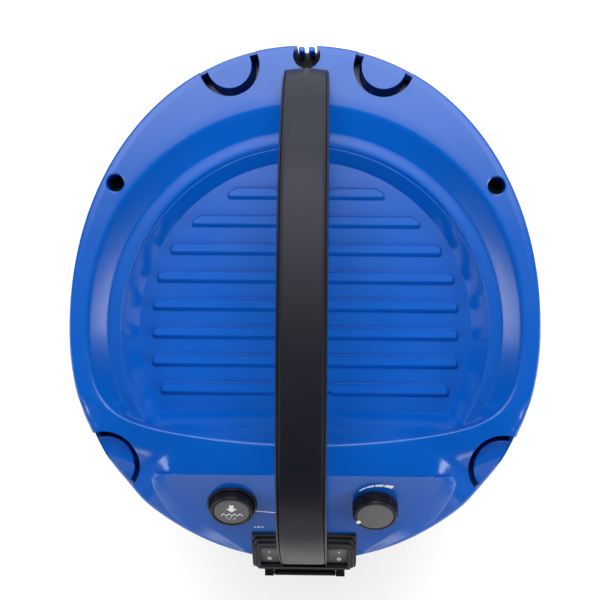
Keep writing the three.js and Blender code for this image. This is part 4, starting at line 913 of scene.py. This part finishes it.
# ------------------------------------------------------------------ tank and the nodes below the head
TANK_FOOT = 160
TANK_TOP = 174
TANK_RIM = 181
TANK_WALL = 3
RIM_DEPTH = 8
PORT_HOLE = 29.3
PORT_DROP = 88
LATCH_MIDDLE = 185.25
EAR = (168, 3.4, 25.5, 3)    # inner end, reach past the latch's middle, distance from the middle, half thickness
PIN_DROP = 40
BANDS = (0.30, 0.76)         # the raised bands' heights, as shares of the drum's
INSET = 1.4


def drum_profile(foot, top):
    """The drum's side view: a stepped foot, two raised bands, a rolled rim, and the same wall inside."""
    def radius(z):
        return TANK_FOOT + (TANK_TOP - TANK_FOOT) * (z - foot) / (top - foot)

    under = top - RIM_DEPTH
    outer = [(0, foot), (TANK_FOOT - 6, foot), (TANK_FOOT, foot + 6)]
    outer += [(radius(foot + 22), foot + 22), (radius(foot + 24) - INSET, foot + 24)]
    for share in BANDS:
        z = foot + share * (top - foot)
        proud = radius(z) + 0.4
        outer += [(radius(z) - INSET, z), (proud, z + 2), (proud, z + 8), (radius(z) - INSET, z + 10)]
    outer += [(radius(under - 14) - INSET, under - 14), (radius(under - 12), under - 12), (radius(under), under),
              (TANK_RIM, under), (TANK_RIM, top)]
    inner = [(TANK_TOP - TANK_WALL, top), (TANK_FOOT - TANK_WALL - 1.6, foot + 9),
             (TANK_FOOT - 11, foot + TANK_WALL), (0, foot + TANK_WALL)]
    radii = [0, 1.5, 1.5] + [0.9] * (len(outer) - 5) + [2.2, 2.2] + [1.6, 3, 3, 0]
    return rounded(outer + inner, radii, 4)


def build_tank():
    foot, top = tank_low.z / MM, tank_high.z / MM
    drum = make("tank_drum", lathe(drum_profile(foot, top), 180), TANK, "tank", 40)
    start, past, away, half = EAR
    z = top - PIN_DROP
    for side, word in SIDES:
        for end, label in ((-1, "front"), (1, "rear")):
            x0, x1 = sorted((side * start, side * (LATCH_MIDDLE + past)))
            y = end * away
            ear = box_mesh((x0, y - half, z - 9), (x1, y + half, z + 6))
            bevel(make(f"tank_ear_{word}_{label}", ear, TANK, "tank", 40), 1.4, 3)
    turned = Matrix.Rotation(math.pi, 4, "Z") @ ALONG_Y
    cut(drum, disc(PORT_HOLE, 130, 210, 72, Matrix.Translation((0, 0, top - PORT_DROP)) @ turned))
    shade(drum, 40)
    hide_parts("tank")


KEPT_NODES = (
    (HOUSING, 0.0, ("valve_guide", "hub_cap_left", "hub_cap_right", "base_plate", "float_cage", "filter_top_ring",
                    "filter_bottom_cap", "hose_port")),
    (CONTROL, 0.0, ("filter_nut", "rear_hub_left", "rear_hub_right")),
    (BLACK, 0.8, ("latch_left", "latch_right")),
    (STEEL, 0.0, ("flap_pin", "latch_pin_left", "latch_pin_right", "rear_axle", "castor_axle_left",
                  "castor_axle_right", "cover_screw_left", "cover_screw_right", "bearing_top", "bearing_bottom",
                  "castor_fork_left", "castor_fork_right", "fan_housing", "fan_impeller", "motor_frame",
                  "speed_control")),
    (COPPER, 0.0, ("armature", "motor_stator")),
    (RUBBER, 0.0, ("motor_seal", "motor_mount", "rim_seal", "cord_gland", "rear_tyre_left", "rear_tyre_right",
                   "castor_wheel_left", "castor_wheel_right")),
    (FOAM, 0.0, ("exhaust_foam",)),
    (BOARD, 0.0, ("circuit_board",)),
    (PAPER, 0.0, ("filter_pleats",)),
)


def build_kept_nodes():
    cad_node("head_housing", HOUSING, 0.5)
    cad_node("socket_housing", HOUSING, 1.0)
    cad_node("socket_flap", HOUSING, 0.8)
    for material, edge, names in KEPT_NODES:
        for name in names:
            cad_node(name, material, edge)
    cad_node("float_ball", FLOAT, 0, 60)


# ------------------------------------------------------------------ stage, in metres
FLOOR_HALF = 14
CAMERA_X = 0.034
CAMERA_RISE = 1.5            # the camera's height above the deck
VIEW_WIDTH = 0.48
VIEW_ROLL = math.radians(0.5)
VIEW_MIDDLE = (-3.6, 22.4)


def build_stage():
    mesh = bpy.data.meshes.new("floor")
    half = FLOOR_HALF
    mesh.from_pydata([(-half, -half, 0), (half, -half, 0), (half, half, 0), (-half, half, 0)], [], [(0, 1, 2, 3)])
    floor = bpy.data.objects.new("floor", mesh)
    bpy.context.scene.collection.objects.link(floor)
    material = bpy.data.materials.new("floor_white")
    material.use_nodes = True
    shader = material.node_tree.nodes["Principled BSDF"]
    shader.inputs["Base Color"].default_value = (0.9, 0.9, 0.9, 1)
    shader.inputs["Roughness"].default_value = 0.9
    shader.inputs["Emission Color"].default_value = (1, 1, 1, 1)
    shader.inputs["Emission Strength"].default_value = 0.2
    mesh.materials.append(material)
    world = bpy.data.worlds.new("studio")
    bpy.context.scene.world = world
    world.use_nodes = True
    world.node_tree.nodes["Background"].inputs["Color"].default_value = (1, 1, 1, 1)
    world.node_tree.nodes["Background"].inputs["Strength"].default_value = 0.05


def softbox(name, place, target, size, power):
    """A rectangular lamp, placed and aimed from the tank's axis at the deck's height."""
    light = bpy.data.lights.new(name, "AREA")
    light.shape = "RECTANGLE"
    light.size, light.size_y = size
    light.energy = power
    lamp = bpy.data.objects.new(name, light)
    up = Vector((0, 0, DECK * MM))
    lamp.location = Vector(place) + up
    lamp.rotation_mode = "QUATERNION"
    lamp.rotation_quaternion = (Vector(target) - Vector(place)).to_track_quat("-Z", "Y")
    bpy.context.scene.collection.objects.link(lamp)


def build_lights():
    softbox("rear_overhead", (0, 1.0, 1.7), (0, 0.45, 0), (1.8, 1.5), 46)
    softbox("left_bank", (-1.7, -0.55, 0.78), (0, 0, 0), (1.3, 0.7), 21)
    softbox("right_bank", (1.7, -0.55, 0.78), (0, 0, 0), (1.3, 0.7), 26)
    softbox("rear_low", (0, 2.0, 0.6), (0, 0, 0), (1.6, 0.6), 13)
    softbox("front_low", (0, -1.9, 0.14), (0, 0, -0.05), (1.8, 0.3), 9)


def build_camera():
    """A long lens above the deck, rolled half a degree to match the photograph."""
    camera = bpy.data.cameras.new("camera")
    view = bpy.data.objects.new("camera", camera)
    bpy.context.scene.collection.objects.link(view)
    camera.sensor_width = 36
    camera.lens = camera.sensor_width * CAMERA_RISE / VIEW_WIDTH
    middle = Vector((VIEW_MIDDLE[0] * MM, VIEW_MIDDLE[1] * MM + AXIS_Y, DECK * MM))
    view.location = (CAMERA_X, middle.y, middle.z + CAMERA_RISE)
    view.rotation_mode = "QUATERNION"
    toward = (middle - view.location).normalized()
    side = toward.cross(Vector((-math.sin(VIEW_ROLL), math.cos(VIEW_ROLL), 0))).normalized()
    up = side.cross(toward)
    view.rotation_quaternion = Matrix((side, up, -toward)).transposed().to_quaternion()
    bpy.context.scene.camera = view


build_camera()
build_cover()
build_pockets()
build_screw_tubes()
build_notch()
build_ribs()
build_handle()
build_button()
build_knob()
build_switches()
build_panel_marks()
build_tank()
build_kept_nodes()
build_stage()
build_lights()
bpy.context.scene.view_settings.view_transform = "Standard"
